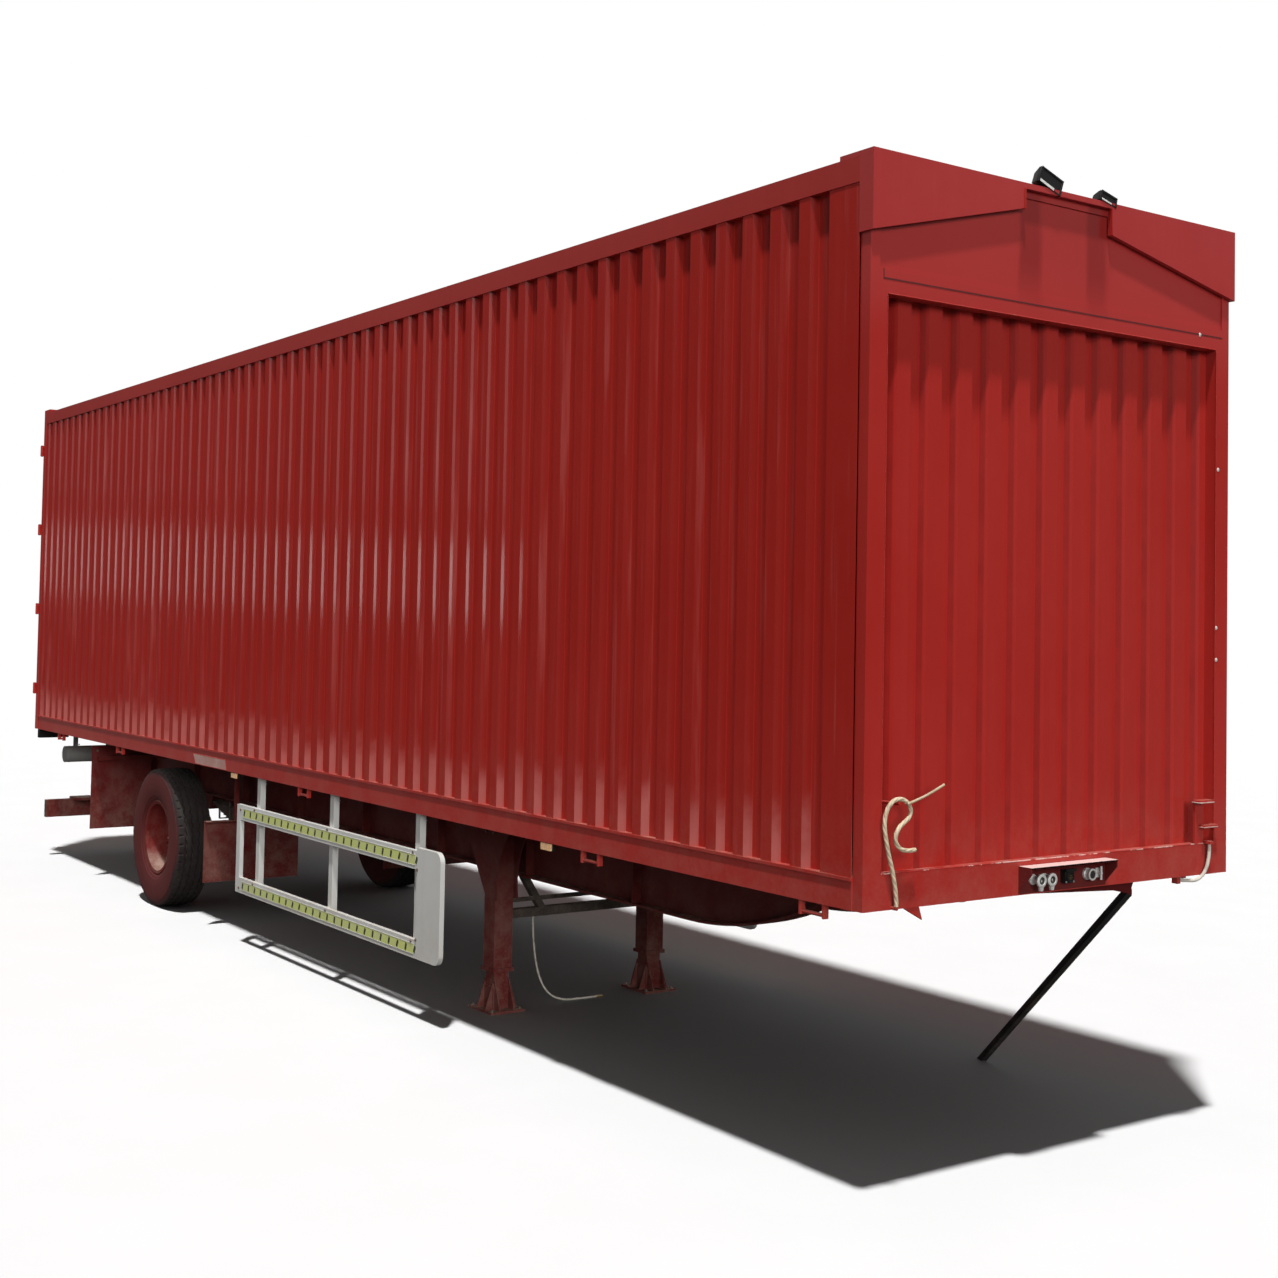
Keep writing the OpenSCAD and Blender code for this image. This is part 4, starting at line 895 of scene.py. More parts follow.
def boltTree():
    # hexagon heads with a washer and a stud end
    net = GeoNet("boltsAtPoints", {"Radius": ("Float", 0.012), "Height": ("Float", 0.009), "Stud": ("Float", 0.004),
                                   "Material": ("Material", None)})
    given = net.given
    parts = []
    for sides, radius, height in ((6, given["Radius"], given["Height"]),
                                  (24, net.times(given["Radius"], 1.35), net.times(given["Height"], 0.4)),
                                  (14, net.times(given["Radius"], 0.55), net.plus(given["Height"], given["Stud"]))):
        body = net.add("GeometryNodeMeshCylinder", Vertices=sides, Radius=radius, Depth=height).outputs["Mesh"]
        lift = net.add("ShaderNodeCombineXYZ", Z=net.times(height, 0.5)).outputs[0]
        parts.append(net.add("GeometryNodeTransform", Geometry=body, Translation=lift).outputs[0])
    joined = net.add("GeometryNodeJoinGeometry")
    for part in parts:
        net.tree.links.new(part, joined.inputs[0])
    spread = net.add("GeometryNodeInstanceOnPoints", Points=given["Geometry"], Instance=joined.outputs[0],
                     Rotation=facingRotation(net, 3)).outputs[0]
    net.finish(spread)
    return net


def rivetTree():
    net = GeoNet("rivetsAtPoints", {"Radius": ("Float", 0.006), "Height": ("Float", 0.003),
            "Material": ("Material", None)})
    given = net.given
    dome = net.add("GeometryNodeMeshUVSphere", Segments=16, Rings=8, Radius=1.0).outputs["Mesh"]
    size = net.add("ShaderNodeCombineXYZ", X=given["Radius"], Y=given["Radius"], Z=given["Height"]).outputs[0]
    spread = net.add("GeometryNodeInstanceOnPoints", Points=given["Geometry"], Instance=dome,
                     Rotation=facingRotation(net, 5), Scale=size).outputs[0]
    net.finish(spread)
    return net


def weldTree():
    # overlapping small lobes along a line, each a little different
    net = GeoNet("weldBeads", {"Radius": ("Float", 0.003), "Spacing": ("Float", 0.004),
                               "Material": ("Material", None)})
    given = net.given
    curve = net.add("GeometryNodeMeshToCurve", Mesh=given["Geometry"]).outputs[0]
    count = net.add("GeometryNodeResampleCurve", {"mode": "LENGTH"}, Curve=curve)
    net.feed(count.inputs["Length"], given["Spacing"])
    lobe = net.add("GeometryNodeMeshUVSphere", Segments=8, Rings=5, Radius=given["Radius"]).outputs["Mesh"]
    spread = net.add("GeometryNodeInstanceOnPoints", Points=count.outputs[0], Instance=lobe,
                     Scale=chance(net, 0.75, 1.2, 11)).outputs[0]
    net.finish(spread)
    return net


def rowTree():
    # one box repeated at even steps
    net = GeoNet("boxesInRow", {"Count": ("Int", 10), "Step": ("Vector", None), "Size": ("Vector", None),
                                "Lean": ("Vector", None), "Jitter": ("Float", 0.0), "Material": ("Material", None)})
    given = net.given
    box = net.add("GeometryNodeMeshCube", Size=given["Size"]).outputs["Mesh"]
    index = net.add("GeometryNodeInputIndex").outputs[0]
    where = net.add("ShaderNodeVectorMath", {"operation": "SCALE"}, Vector=given["Step"], Scale=index).outputs[0]
    start = net.add("GeometryNodeInputPosition").outputs[0]
    points = net.add("GeometryNodeMeshLine", Count=given["Count"]).outputs[0]
    origin = net.add("GeometryNodeSampleIndex", {"data_type": "FLOAT_VECTOR"}, Geometry=given["Geometry"],
                     Value=start)
    moved = net.add("GeometryNodeSetPosition", Geometry=points,
                    Position=vectorSum(net, origin.outputs[0], where)).outputs[0]
    swing = net.add("ShaderNodeVectorMath", {"operation": "SCALE"}, Vector=(0, 1, 0),
                    Scale=net.times(chance(net, -1.0, 1.0, 4), given["Jitter"])).outputs[0]
    turned = net.add("FunctionNodeEulerToRotation", Euler=vectorSum(net, given["Lean"], swing)).outputs[0]
    spread = net.add("GeometryNodeInstanceOnPoints", Points=moved, Instance=box, Rotation=turned).outputs[0]
    net.finish(spread)
    return net


trees = {"bolts": boltTree(), "rivets": rivetTree(), "welds": weldTree(), "row": rowTree()}


def grow(name, body, kind, points, material, facings=None, edges=(), smooth=35, size=(), **values):
    # a piece of small parts: one of the trees above run on a few seed points; size is radius, height, stud
    net = trees[kind]
    seed = bpy.data.meshes.new(name)
    seed.from_pydata([tuple(p) for p in points], list(edges), [])
    if facings is not None:
        facings = [facings] * len(points) if isinstance(facings, tuple) else facings
        store = seed.attributes.new("facing", "FLOAT_VECTOR", "POINT")
        store.data.foreach_set("vector", [c for f in facings for c in f])
    holder = bpy.data.objects.new(name, seed)
    bpy.context.scene.collection.objects.link(holder)
    modifier = holder.modifiers.new("parts", "NODES")
    modifier.node_group = net.tree
    modifier[net.ids["Material"]] = finish[material]
    for key, value in {**dict(zip(("Radius", "Height", "Stud"), size)), **values}.items():
        modifier[net.ids[key]] = value
    graph = bpy.context.evaluated_depsgraph_get()
    mesh = bpy.data.meshes.new_from_object(holder.evaluated_get(graph))
    bpy.data.objects.remove(holder)
    bpy.data.meshes.remove(seed)
    mesh.name = name
    if "facing" in mesh.attributes:
        mesh.attributes.remove(mesh.attributes["facing"])
    piece = finishPiece(name, mesh, material, 0, smooth)
    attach(piece, body)
    return piece


def make(name, body, material, shape, bevel=0.0, smooth=35, stands=None):
    piece = shape.build(name, material, bevel, smooth)
    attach(piece, body)
    if stands:
        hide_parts(*stands)
    return piece


def weld(name, seams, material, radius, spacing):
    # beads along each of the lines
    points, edges = [], []
    for seam in seams:
        edges += [(len(points) + i, len(points) + i + 1) for i in range(len(seam) - 1)]
        points += seam
    grow(name, "trailer", "welds", points, material, None, edges, 60, Radius=radius, Spacing=spacing)


def ringPoints(centre, radius, count, axis="y", start=0.0):
    centre = Vector(centre)
    spots = []
    for k in range(count):
        turn = start + 2 * math.pi * k / count
        a, b = radius * math.cos(turn), radius * math.sin(turn)
        spots.append(centre + Vector({"x": (0, a, b), "y": (a, 0, b), "z": (a, b, 0)}[axis]))
    return spots


# ---- wheels
wheel = {"x": -8.55, "z": 0.565, "mid": 1.03, "radius": 0.565, "steps": 288,
         "grooves": (-0.078, -0.027, 0.027, 0.078),
         "grooveHalf": 0.0065, "grooveDepth": 0.013, "zigzag": 0.0055, "waves": 48, "sipeEvery": 6,
         "sipeDepth": 0.010}


def tyreMesh(side):
    # offset across and kind of each column of the tread
    columns = [(y, "shoulder") for y in (-0.126, -0.119, -0.108, -0.098)]
    for groove in wheel["grooves"]:
        half = wheel["grooveHalf"]
        columns += [(groove - half * 1.3, "edge"), (groove - half * 0.7, "floor"), (groove + half * 0.7, "floor"),
                    (groove + half * 1.3, "edge")]
    columns += [(y, "shoulder") for y in (0.098, 0.108, 0.119, 0.126)]
    sideWall = [(0.1330, 0.5510), (0.1375, 0.5400), (0.1420, 0.5250), (0.1455, 0.5240), (0.1485, 0.5050),
                (0.1500, 0.4700),
                (0.1500, 0.4350), (0.1485, 0.4000), (0.1450, 0.3700), (0.1400, 0.3480), (0.1395, 0.3440),
                (0.1350, 0.3400),
                (0.1290, 0.3230), (0.1255, 0.3200), (0.1190, 0.3080), (0.1140, 0.2990), (0.1090, 0.2925)]
    steps = wheel["steps"]
    points = []
    for k in range(steps):
        turn = 2 * math.pi * k / steps
        phase = (k * wheel["waves"] / steps) % 1.0
        zig = wheel["zigzag"] * (4 * abs(phase - 0.5) - 1)
        notch = wheel["sipeDepth"] if k % wheel["sipeEvery"] == 0 else 0.0
        section = [(-y, r) for y, r in reversed(sideWall)]
        for y, kind in columns:
            crown = wheel["radius"] - 0.006 * (abs(y) / 0.126) ** 2.5
            if kind == "floor":
                section.append((y + zig, crown - wheel["grooveDepth"]))
            elif kind == "edge":
                section.append((y + zig, crown))
            else:
                section.append((y, crown - (notch if abs(y) > 0.10 else 0.0)))
        section += sideWall
        points += [(noseX + wheel["x"] + r * math.cos(turn), side * wheel["mid"] + y,
                    wheel["z"] + r * math.sin(turn)) for y, r in section]
    shape = Shape()
    shape.add(points, quads(steps, len(section), True))
    return shape


def makeWheel(side, label):
    body = "wheel_" + label
    centre = at(wheel["x"], side * wheel["mid"], wheel["z"])
    axis = (0, side, 0)
    make("tyre_tread_" + label, body, "tyreRubber", tyreMesh(side), 0, 28, ["tyre_" + label])
    barrel = Shape()
    barrel.turn(centre, axis, [(0.2905, -0.110), (0.300, -0.1125), (0.3035, -0.1180), (0.2985, -0.1230),
                               (0.283, -0.1190), (0.2795, -0.1000),
                               (0.268, -0.085), (0.262, -0.030), (0.262, 0.060), (0.276, 0.092), (0.2785, 0.112),
                               (0.2785, 0.1220),
                               (0.2905, 0.1235), (0.2985, 0.1250), (0.3035, 0.1190), (0.300, 0.1130),
                               (0.2905, 0.110)], 96)
    barrel.turn(centre, axis, [(0.2700, 0.0930), (0.2785, 0.0960), (0.2840, 0.1180), (0.2800, 0.1225),
                               (0.2740, 0.1210)], 96)
    make("rim_barrel_" + label, body, "rimPaint", barrel, 0.0012, 35, ["wheel_rim_" + label])
    disc = Shape()
    disc.turn(centre, axis, [(0.091, -0.100), (0.165, -0.100), (0.186, -0.094), (0.212, -0.068), (0.240, -0.040),
                             (0.2635, -0.032),
                             (0.2635, -0.046), (0.243, -0.054), (0.220, -0.080), (0.192, -0.107), (0.168, -0.113),
                             (0.091, -0.113)], 96)
    cutters = Shape()
    for k in range(8):
        turn = 2 * math.pi * (k + 0.5) / 8
        spot = centre + Vector((0.2215 * math.cos(turn), 0, 0.2215 * math.sin(turn)))
        cutters.bar(spot - Vector((0, 0.16, 0)), spot + Vector((0, 0.16, 0)), 0.0225, 28)
    plate = disc.build("rim_disc_" + label, "rimPaint", 0, 35)
    tool = cutters.build("cutter", "rimPaint", 0, 35)
    cut = plate.modifiers.new("holes", "BOOLEAN")
    cut.object, cut.operation, cut.solver = tool, "DIFFERENCE", "EXACT"
    bpy.context.view_layer.update()
    graph = bpy.context.evaluated_depsgraph_get()
    mesh = bpy.data.meshes.new_from_object(plate.evaluated_get(graph))
    bpy.data.objects.remove(plate)
    bpy.data.objects.remove(tool)
    disc = finishPiece("rim_disc_" + label, mesh, "rimPaint", 0.001, 35)
    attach(disc, body)
    face = at(wheel["x"], side * 0.930, wheel["z"])
    grow("wheel_nuts_" + label, body, "bolts", ringPoints(face, 0.1425, 10), "rimPaint", axis,
         size=(0.0175, 0.022, 0.016))
    hub = Shape()
    cap = at(wheel["x"], side * 1.0, wheel["z"])
    hub.turn(cap, axis, [(0.0005, -0.01), (0.0005, 0.032), (0.030, 0.031), (0.050, 0.025), (0.058, 0.014),
                         (0.060, 0.006), (0.084, 0.006), (0.086, 0.003), (0.086, -0.01)], 64)
    make("hub_cap_" + label, body, "rimPaint", hub, 0.0008, 35)
    grow("hub_screws_" + label, body, "bolts", ringPoints(cap + Vector((0, side * 0.006, 0)), 0.0735, 8), "boltSteel",
         axis, size=(0.0065, 0.005, 0.001))
    valve = Shape()
    foot = centre + Vector((0.252, side * 0.060, 0.02))
    valve.bar(foot, foot + Vector((-0.008, side * 0.040, 0)), 0.0042, 12)
    valve.bar(foot + Vector((-0.008, side * 0.040, 0)), foot + Vector((-0.010, side * 0.056, 0)), 0.0052, 12)
    make("tyre_valve_" + label, body, "brass", valve, 0.0005)


makeWheel(-1, "right")
makeWheel(1, "left")
print("wheels made")


# ---- lamps on the nose's top edge
topLamp = {"places": ((0.052, -0.135, 4.418, 0.150, 0.082, 20.0), (0.052, 0.262, 4.416, 0.112, 0.050, 14.0)),
           "deep": 0.060}


def makeTopLamps():
    shells, panes, strips, straps = Shape(), Shape(), Shape(), Shape()
    for x, y, z, width, tall, lean in topLamp["places"]:
        middle = at(x, y, z) + Vector((0, 0, tall / 2 - 0.006))
        turn = Matrix.Translation(middle) @ Matrix.Rotation(math.radians(-lean), 4, "X")
        w, h, d = width / 2, tall / 2 * 0.92, topLamp["deep"] / 2
        for shape in (shells, panes, strips):
            shape.placing = turn
        back = [(-w * 0.72, -h * 0.7), (w * 0.72, -h * 0.7), (w * 0.72, h * 0.7), (-w * 0.72, h * 0.7)]
        front = [(-w, -h), (w, -h), (w, h), (-w, h)]
        shells.add([(-d, a, b) for a, b in back] + [(d * 0.5, a, b) for a, b in front] + [(d, a, b) for a,
                b in front],
                   lids(3, 4) + quads(3, 4))
        rim = 0.008
        for box in (((d * 0.8, -w, h - rim), (d + 0.006, w, h)), ((d * 0.8, -w, -h), (d + 0.006, w, -h + rim)),
                    ((d * 0.8, -w, -h), (d + 0.006, -w + rim, h)), ((d * 0.8, w - rim, -h), (d + 0.006, w, h))):
            shells.block(*box)
        panes.block((d - 0.001, -w + rim, -h + rim), (d + 0.002, w - rim, h - rim))
        strips.block((d + 0.002, -w + rim, -h + rim * 0.3), (d + 0.008, w * 0.35, -h + rim * 0.3 + tall * 0.15))
        for k in range(5):
            spot = -w * 0.6 + k * w * 0.3
            shells.block((-d - 0.006, spot - 0.002, -h * 0.6), (-d + 0.004, spot + 0.002, h * 0.6))
        straps.block(at(x - 0.014, y - width * 0.30, z - 0.002), at(x + 0.014, y + width * 0.30, z + 0.005))
        for s in (-1, 1):
            straps.block(at(x - 0.010, y + s * width * 0.26 - 0.002, z),
                         at(x + 0.010, y + s * width * 0.26 + 0.002, z + 0.024 + tall * 0.25))
    make("top_lamp_shells", "trailer", "blackPlastic", shells, 0.002, 35, ["top_lamps"])
    make("top_lamp_panes", "trailer", "darkGlass", panes)
    make("top_lamp_strips", "trailer", "clearLens", strips, 0.0005)
    make("top_lamp_straps", "trailer", "blackPlastic", straps, 0.0008)
    grow("top_lamp_bolts", "trailer", "bolts",
         [at(x - 0.006, y, z + 0.005) for x, y, z in (place[:3] for place in topLamp["places"])],
         "zincSteel", (0, 0, 1), size=(0.006, 0.005, 0.002))
    cable = Shape()
    for x, y, z in (place[:3] for place in topLamp["places"]):
        cable.sweep(smoothRoute([at(x - 0.028, y, z + 0.040), at(x - 0.045, y + 0.005, z + 0.024),
                                 at(x - 0.060, y + 0.012, z + 0.006),
                                 at(x - 0.085, y + 0.010, z + 0.004), at(x - 0.13, y + 0.004, z + 0.0035)], 0.006),
                                 0.0035, 8)
    make("top_lamp_leads", "trailer", "blackRubber", cable, 0, 60)


makeTopLamps()


# ---- air and light couplings in the connector box
coupling = {"x": 0.066, "z": 1.316, "air": (-0.195, -0.125), "socket": 0.020, "round": 0.165, "handle": 0.238}


def makeCouplings():
    x0, z0 = coupling["x"], coupling["z"]
    metal, seals, dark = Shape(), Shape(), Shape()
    for y in coupling["air"]:
        foot = at(x0, y, z0)
        metal.turn(foot, (1, 0, 0), [(0.0005, 0.0), (0.024, 0.0), (0.024, 0.008), (0.015, 0.012), (0.015, 0.036),
                (0.020, 0.040), (0.028, 0.046), (0.030, 0.050), (0.030, 0.058), (0.027, 0.060), (0.017, 0.060),
                                             (0.016, 0.054), (0.0005, 0.054)], 48)
        # cast wing and hooked ear of the coupling head
        metal.slab([(y - 0.006, z0 - 0.046), (y + 0.010, z0 - 0.046), (y + 0.016, z0 - 0.020),
                    (y - 0.012, z0 - 0.020)],
                   "x", noseX + x0 + 0.044, noseX + x0 + 0.056)
        metal.slab([(y + 0.018, z0 - 0.012), (y + 0.033, z0 - 0.006), (y + 0.033, z0 + 0.014),
                    (y + 0.018, z0 + 0.018)],
                   "x", noseX + x0 + 0.040, noseX + x0 + 0.050)
        seals.turn(foot + Vector((0.053, 0, 0)), (1, 0, 0),
                   [(0.006, 0.0), (0.016, 0.0), (0.016, 0.005), (0.013, 0.0065), (0.006, 0.003)], 40)
    y = coupling["socket"]
    dark.block(at(x0, y - 0.030, z0 - 0.028), at(x0 + 0.030, y + 0.030, z0 + 0.030))
    dark.block(at(x0 + 0.028, y - 0.034, z0 + 0.024), at(x0 + 0.042, y + 0.034, z0 + 0.036))
    dark.turn(at(x0 + 0.028, y, z0 - 0.002), (1, 0, 0),
              [(0.012, 0.0), (0.024, 0.0), (0.024, 0.008), (0.020, 0.010), (0.019, 0.004), (0.012, 0.004)], 40)
    y = coupling["round"]
    metal.turn(at(x0, y, z0), (1, 0, 0), [(0.0005, 0.0), (0.027, 0.0), (0.027, 0.010), (0.022, 0.014), (0.022, 0.032),
            (0.027, 0.034), (0.027, 0.040), (0.020, 0.041), (0.019, 0.036), (0.0005, 0.036)], 48)
    seals.turn(at(x0 + 0.034, y, z0), (1, 0, 0), [(0.0005, 0.0), (0.018, 0.0), (0.018, 0.004), (0.0005, 0.0055)], 36)
    y = coupling["handle"]
    metal.block(at(x0, y - 0.012, z0 - 0.022), at(x0 + 0.006, y + 0.012, z0 + 0.022))
    metal.bar(at(x0 + 0.004, y, z0), at(x0 + 0.030, y, z0), 0.007, 20)
    metal.bar(at(x0 + 0.026, y, z0 - 0.030), at(x0 + 0.026, y, z0 + 0.032), 0.0055, 16)
    make("coupling_heads", "trailer", "castMetal", metal, 0.0008, 35, ["air_couplings"])
    make("coupling_seals", "trailer", "blackRubber", seals, 0, 40)
    make("light_socket", "trailer", "blackPlastic", dark, 0.0015)
    pins = ringPoints(at(x0 + 0.032, coupling["socket"], z0 - 0.002), 0.009, 6,
                      "x") + [at(x0 + 0.032, coupling["socket"], z0 - 0.002)]
    grow("light_socket_pins", "trailer", "rivets", pins, "brass", (1, 0, 0), size=(0.0018, 0.007))
    screws = [at(x0 + 0.008, y + a, z0 + b) for y in coupling["air"] for a, b in ((-0.018, 0.0), (0.018, 0.0))]
    screws += [at(x0 + 0.030, coupling["socket"] + a, z0 + b) for a, b in ((-0.025, -0.023), (0.025, -0.023))]
    screws += ringPoints(at(x0 + 0.010, coupling["round"], z0), 0.0245, 4, "x", 0.78)
    grow("coupling_screws", "trailer", "bolts", screws, "zincSteel", (1, 0, 0), size=(0.0036, 0.003, 0.001))
    # folded edge along the hood, made bright with scraped paint and a painted highlight
    edge = Shape()
    low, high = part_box("connector_box")
    edge.block((high.x - 0.004, low.y, high.z - 0.008), (high.x, high.y, high.z))
    edge.block((noseX + 0.064, low.y, high.z - 0.001), (high.x, high.y, high.z + 0.0015))
    make("connector_edge", "trailer", "scrapedHighlightEdge", edge, 0.0008)


makeCouplings()


# ---- nose: stick through the rope, studs, weld seams, flanges, and worn edges and cleat tops with painted highlights
nose = {"studs": ((1.127, 3.229), (1.118, 2.448), (1.119, 2.291), (0.979, 3.883)), "face": 0.060}


def makeNose():
    stick = Shape()
    stick.sweep(smoothRoute([at(0.106, -1.003, 1.690), at(0.107, -0.955, 1.703), at(0.108, -0.88, 1.727),
                             at(0.106, -0.79, 1.762)], 0.01), 0.0055, 10)
    make("rope_stick", "trailer", "rope", stick, 0, 60)
    grow("nose_studs", "trailer", "rivets", [at(nose["face"], y, z) for y, z in nose["studs"]], "whitePaint",
         (1, 0, 0), size=(0.010, 0.004))
    seams = [[at(0.061, y, z) for z in (1.41, 2.6, 3.81)] for y in (-1.107, 1.107)]
    seams.append([at(0.061, y, 3.822) for y in (-1.10, 1.10)])
    weld("nose_frame_seams", seams, "framePaint", 0.0028, 0.0045)
    # seams of the visor's two wings
    seams = [[at(0.0855, -0.305, z) for z in (4.306, 4.392)], [at(0.0855, 0.286, z) for z in (4.273, 4.392)]]
    weld("visor_seams", seams, "framePaint", 0.0026, 0.0045)
    flange = Shape()
    flange.block(at(0.070, -0.309, 4.300), at(0.092, -0.303, 4.396))
    flange.block(at(0.070, 0.284, 4.268), at(0.090, 0.289, 4.396))
    make("visor_flanges", "trailer", "framePaint", flange, 0.001)
    # pale strip on the sill's top edge: worn paint and a painted highlight, in broken lengths
    sill = Shape()
    sill.block(at(0.0560, -1.105, 1.3985), at(0.0608, 1.105, 1.4030))
    make("sill_edge", "trailer", "wornHighlightLine", sill, 0.001)
    # strip that closes the ribs' hollows at the sill
    closer = Shape()
    closer.block(at(-0.0370, -1.100, 1.3860), at(-0.0005, 1.100, 1.3900))
    make("nose_foot_closer", "trailer", "framePaint", closer, 0.0)
    seam = Shape()
    seam.block(at(0.0585, -1.130, 3.8815), at(0.0613, 1.152, 3.8885))
    seam.block(at(0.0585, -1.1330, 3.8815), at(0.0613, -1.1290, 3.926))
    seam.block(at(0.0515, -1.1535, 3.9225), at(0.0545, -1.1500, 4.365))
    make("panel_seam", "trailer", "seamShade", seam)
    # upright cleat on the right-hand sill, its tops pale with a painted highlight
    cleat = Shape()
    cleat.block(at(0.046, 0.955, 1.5985), at(0.096, 1.065, 1.6045))
    cleat.block(at(0.046, 0.992, 1.4785), at(0.092, 1.100, 1.4835))
    make("cleat_edges", "trailer", "paleTopHighlight", cleat, 0.001)


makeNose()
print("nose pieces made")


# ---- side guards: reflecting strips with dividers, beads and bolts
guard = {"face": 1.200, "from": -6.585, "to": -3.87, "rows": ((0.970, 0.058), (0.440, 0.056)), "step": 0.1125,
         "posts": (-6.370, -5.1275, -3.905)}


def makeGuards():
    for side, label in ((-1, "right"), (1, "left")):
        y = side * guard["face"]
        strips = Shape()
        for z, tall in guard["rows"]:
            strips.block(at(guard["from"], min(y, y + side * 0.0015), z - tall / 2),
                         at(guard["to"], max(y, y + side * 0.0015), z + tall / 2))
        make("guard_strips_" + label, "trailer", "reflector", strips)
        count = int((guard["to"] - guard["from"]) / guard["step"]) + 1
        for row, (z, tall) in enumerate(guard["rows"]):
            first = at(guard["from"] + 0.03, y + side * 0.0022, z)
            grow("guard_dividers_%s_%d" % (label, row), "trailer", "row", [first], "dividerPaint", Count=count,
                 Step=(guard["step"], 0.0, 0.0), Size=(0.019, 0.0018, tall * 0.72), Lean=(0.0, 0.30, 0.0),
                 Jitter=0.16)
        edges = Shape()
        for z, tall in guard["rows"]:
            for s in (-1, 1):
                zz = z + s * (tall / 2 + 0.0022)
                edges.block(at(guard["from"], min(y, y + side * 0.003), zz - 0.0018),
                            at(guard["to"], max(y, y + side * 0.003), zz + 0.0018))
        make("guard_beads_" + label, "trailer", "guardPaint", edges, 0.0006)
        bolts = [at(x, y, z + 0.041) for x in guard["posts"] for z, tall in guard["rows"]]
        bolts += [at(-3.845, y, z) for z in (0.915, 0.498)] + [at(-6.63, y, z) for z in (0.99, 0.42)]
        grow("guard_bolts_" + label, "trailer", "bolts", bolts, "boltSteel", (0, side, 0),
             size=(0.0075, 0.006, 0.002))
        heads = [at(x + dx, side * 1.13, 1.20) for x in guard["posts"] for dx in (-0.012, 0.012)]
        grow("guard_post_bolts_" + label, "trailer", "bolts", heads, "zincSteel", (0, -side, 0),
             size=(0.008, 0.007, 0.006))


makeGuards()


# ---- side markers and rear lamps
marker = {"x": (-2.388, -6.768), "low": 1.206, "high": 1.249}
rearLamp = {"face": -12.004, "glass": -12.020, "low": 1.168, "high": 1.240, "red": (0.912, 1.035),
            "amber": (1.043, 1.112), "clear": (1.120, 1.178)}


def makeMarkers():
    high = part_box("side_markers")[1]
    low, top = marker["low"], marker["high"]
    bases, lenses = Shape(), Shape()
    for side in (-1, 1):
        for x in marker["x"]:
            y = side * high.y
            inner, outer = sorted((y - side * 0.030, y - side * 0.010))
            bases.block(at(x - 0.056, inner, low), at(x + 0.056, outer, top))
            inner, outer = sorted((y - side * 0.012, y))
            lenses.block(at(x - 0.050, inner, low + 0.003), at(x + 0.050, outer, top - 0.003))
            inner, outer = sorted((y - side * 0.003, y + side * 0.0005))
            for k in range(-1, 2):
                lenses.block(at(x - 0.046, inner, 1.2265 + k * 0.011), at(x + 0.046, outer, 1.2285 + k * 0.011))
    make("side_marker_bases", "trailer", "blackPlastic", bases, 0.002, 35, ["side_markers"])
    make("side_marker_lenses", "trailer", "amberLens", lenses, 0.002)


def makeRearLamps():
    housings, panes = Shape(), {"red": Shape(), "amber": Shape(), "clear": Shape()}
    face, glass = rearLamp["face"], rearLamp["glass"]
    for side in (-1, 1):
        y0, y1 = sorted((side * 0.90, side * 1.19))
        housings.block(at(face, y0, 1.158), at(-11.94, y1, 1.25))
        for colour, shape in panes.items():
            y0, y1 = sorted(side * y for y in rearLamp[colour])
            shape.block(at(glass, y0, rearLamp["low"]), at(face + 0.002, y1, rearLamp["high"]))
            for k in range(6):
                shape.block(at(glass - 0.002, y0 + 0.004, 1.174 + k * 0.0115),
                            at(glass + 0.002, y1 - 0.004, 1.1765 + k * 0.0115))
    make("rear_lamp_housings", "trailer", "blackPlastic", housings, 0.004, 35, ["rear_lamps"])
    for colour, shape in panes.items():
        make("rear_lamp_%ss" % colour, "trailer", colour + "Lens", shape, 0.002)
    screws = [at(face, side * y, z) for side in (-1, 1) for y in (0.906, 1.184) for z in (1.165, 1.243)]
    grow("rear_lamp_screws", "trailer", "bolts", screws, "zincSteel", (-1, 0, 0), size=(0.0035, 0.002, 0.0))


makeMarkers()
makeRearLamps()
print("guards and lamps made")


# ---- rails, roof and load floor
body = {"patch": (-7.60, -6.90, 1.256, 1.330), "webOut": 1.212, "floorTop": 1.377, "roofTop": 4.4002}


def makeBodyParts():
    patch = Shape()
    x0, x1, z0, z1 = body["patch"]
    outline = [(noseX + x0 + 0.05, z0), (noseX + x1, z0), (noseX + x1 - 0.03, z1), (noseX + x0, z1)]
    web = -body["webOut"]
    patch.slab(outline, "y", web - 0.0022, web + 0.001)
    make("rail_patch", "trailer", "patchPaint", patch, 0.0006)
    ring = [Vector((x, web - 0.001, z)) for x, z in outline]
    grow("rail_patch_weld", "trailer", "welds", ring, "framePaint", None, [(0, 1), (1, 2), (2, 3), (3, 0)], 60,
         Radius=0.0028, Spacing=0.005)
    # seam along the foot of each side wall, and screws through the load floor
    for side, label in ((-1, "right"), (1, "left")):
        weld("wall_foot_seam_" + label, [[at(x, side * 1.2165, 1.3862) for x in (-0.10, -11.90)]], "framePaint",
             0.0022, 0.012)
    screws = [at(-0.32 - i * 0.46, y + dy, body["floorTop"]) for i in range(25)
              for y in (-0.94, -0.36, 0.36, 0.94) for dy in (-0.05, 0.05)]
    grow("floor_screws", "trailer", "rivets", screws, "boltSteel", (0, 0, 1), size=(0.007, 0.0012))
    rivets = [at(-0.25 - i * 0.30, side * 1.145, body["roofTop"]) for i in range(39) for side in (-1, 1)]
    grow("roof_rivets", "trailer", "rivets", rivets, "bodyPaint", (0, 0, 1), size=(0.007, 0.003))


makeBodyParts()


# ---- under the floor: pipes, clips, axle, springs and brakes
under = {"axleX": -8.55, "springY": 0.44, "brakeX": 0.145, "brakeY": 0.25, "brakeZ": 0.625,
         "pipes": ((0.400, 1.205, 0.0055), (0.400, 1.185, 0.0055), (0.398, 1.160, 0.0085)), "clipStep": 0.62}


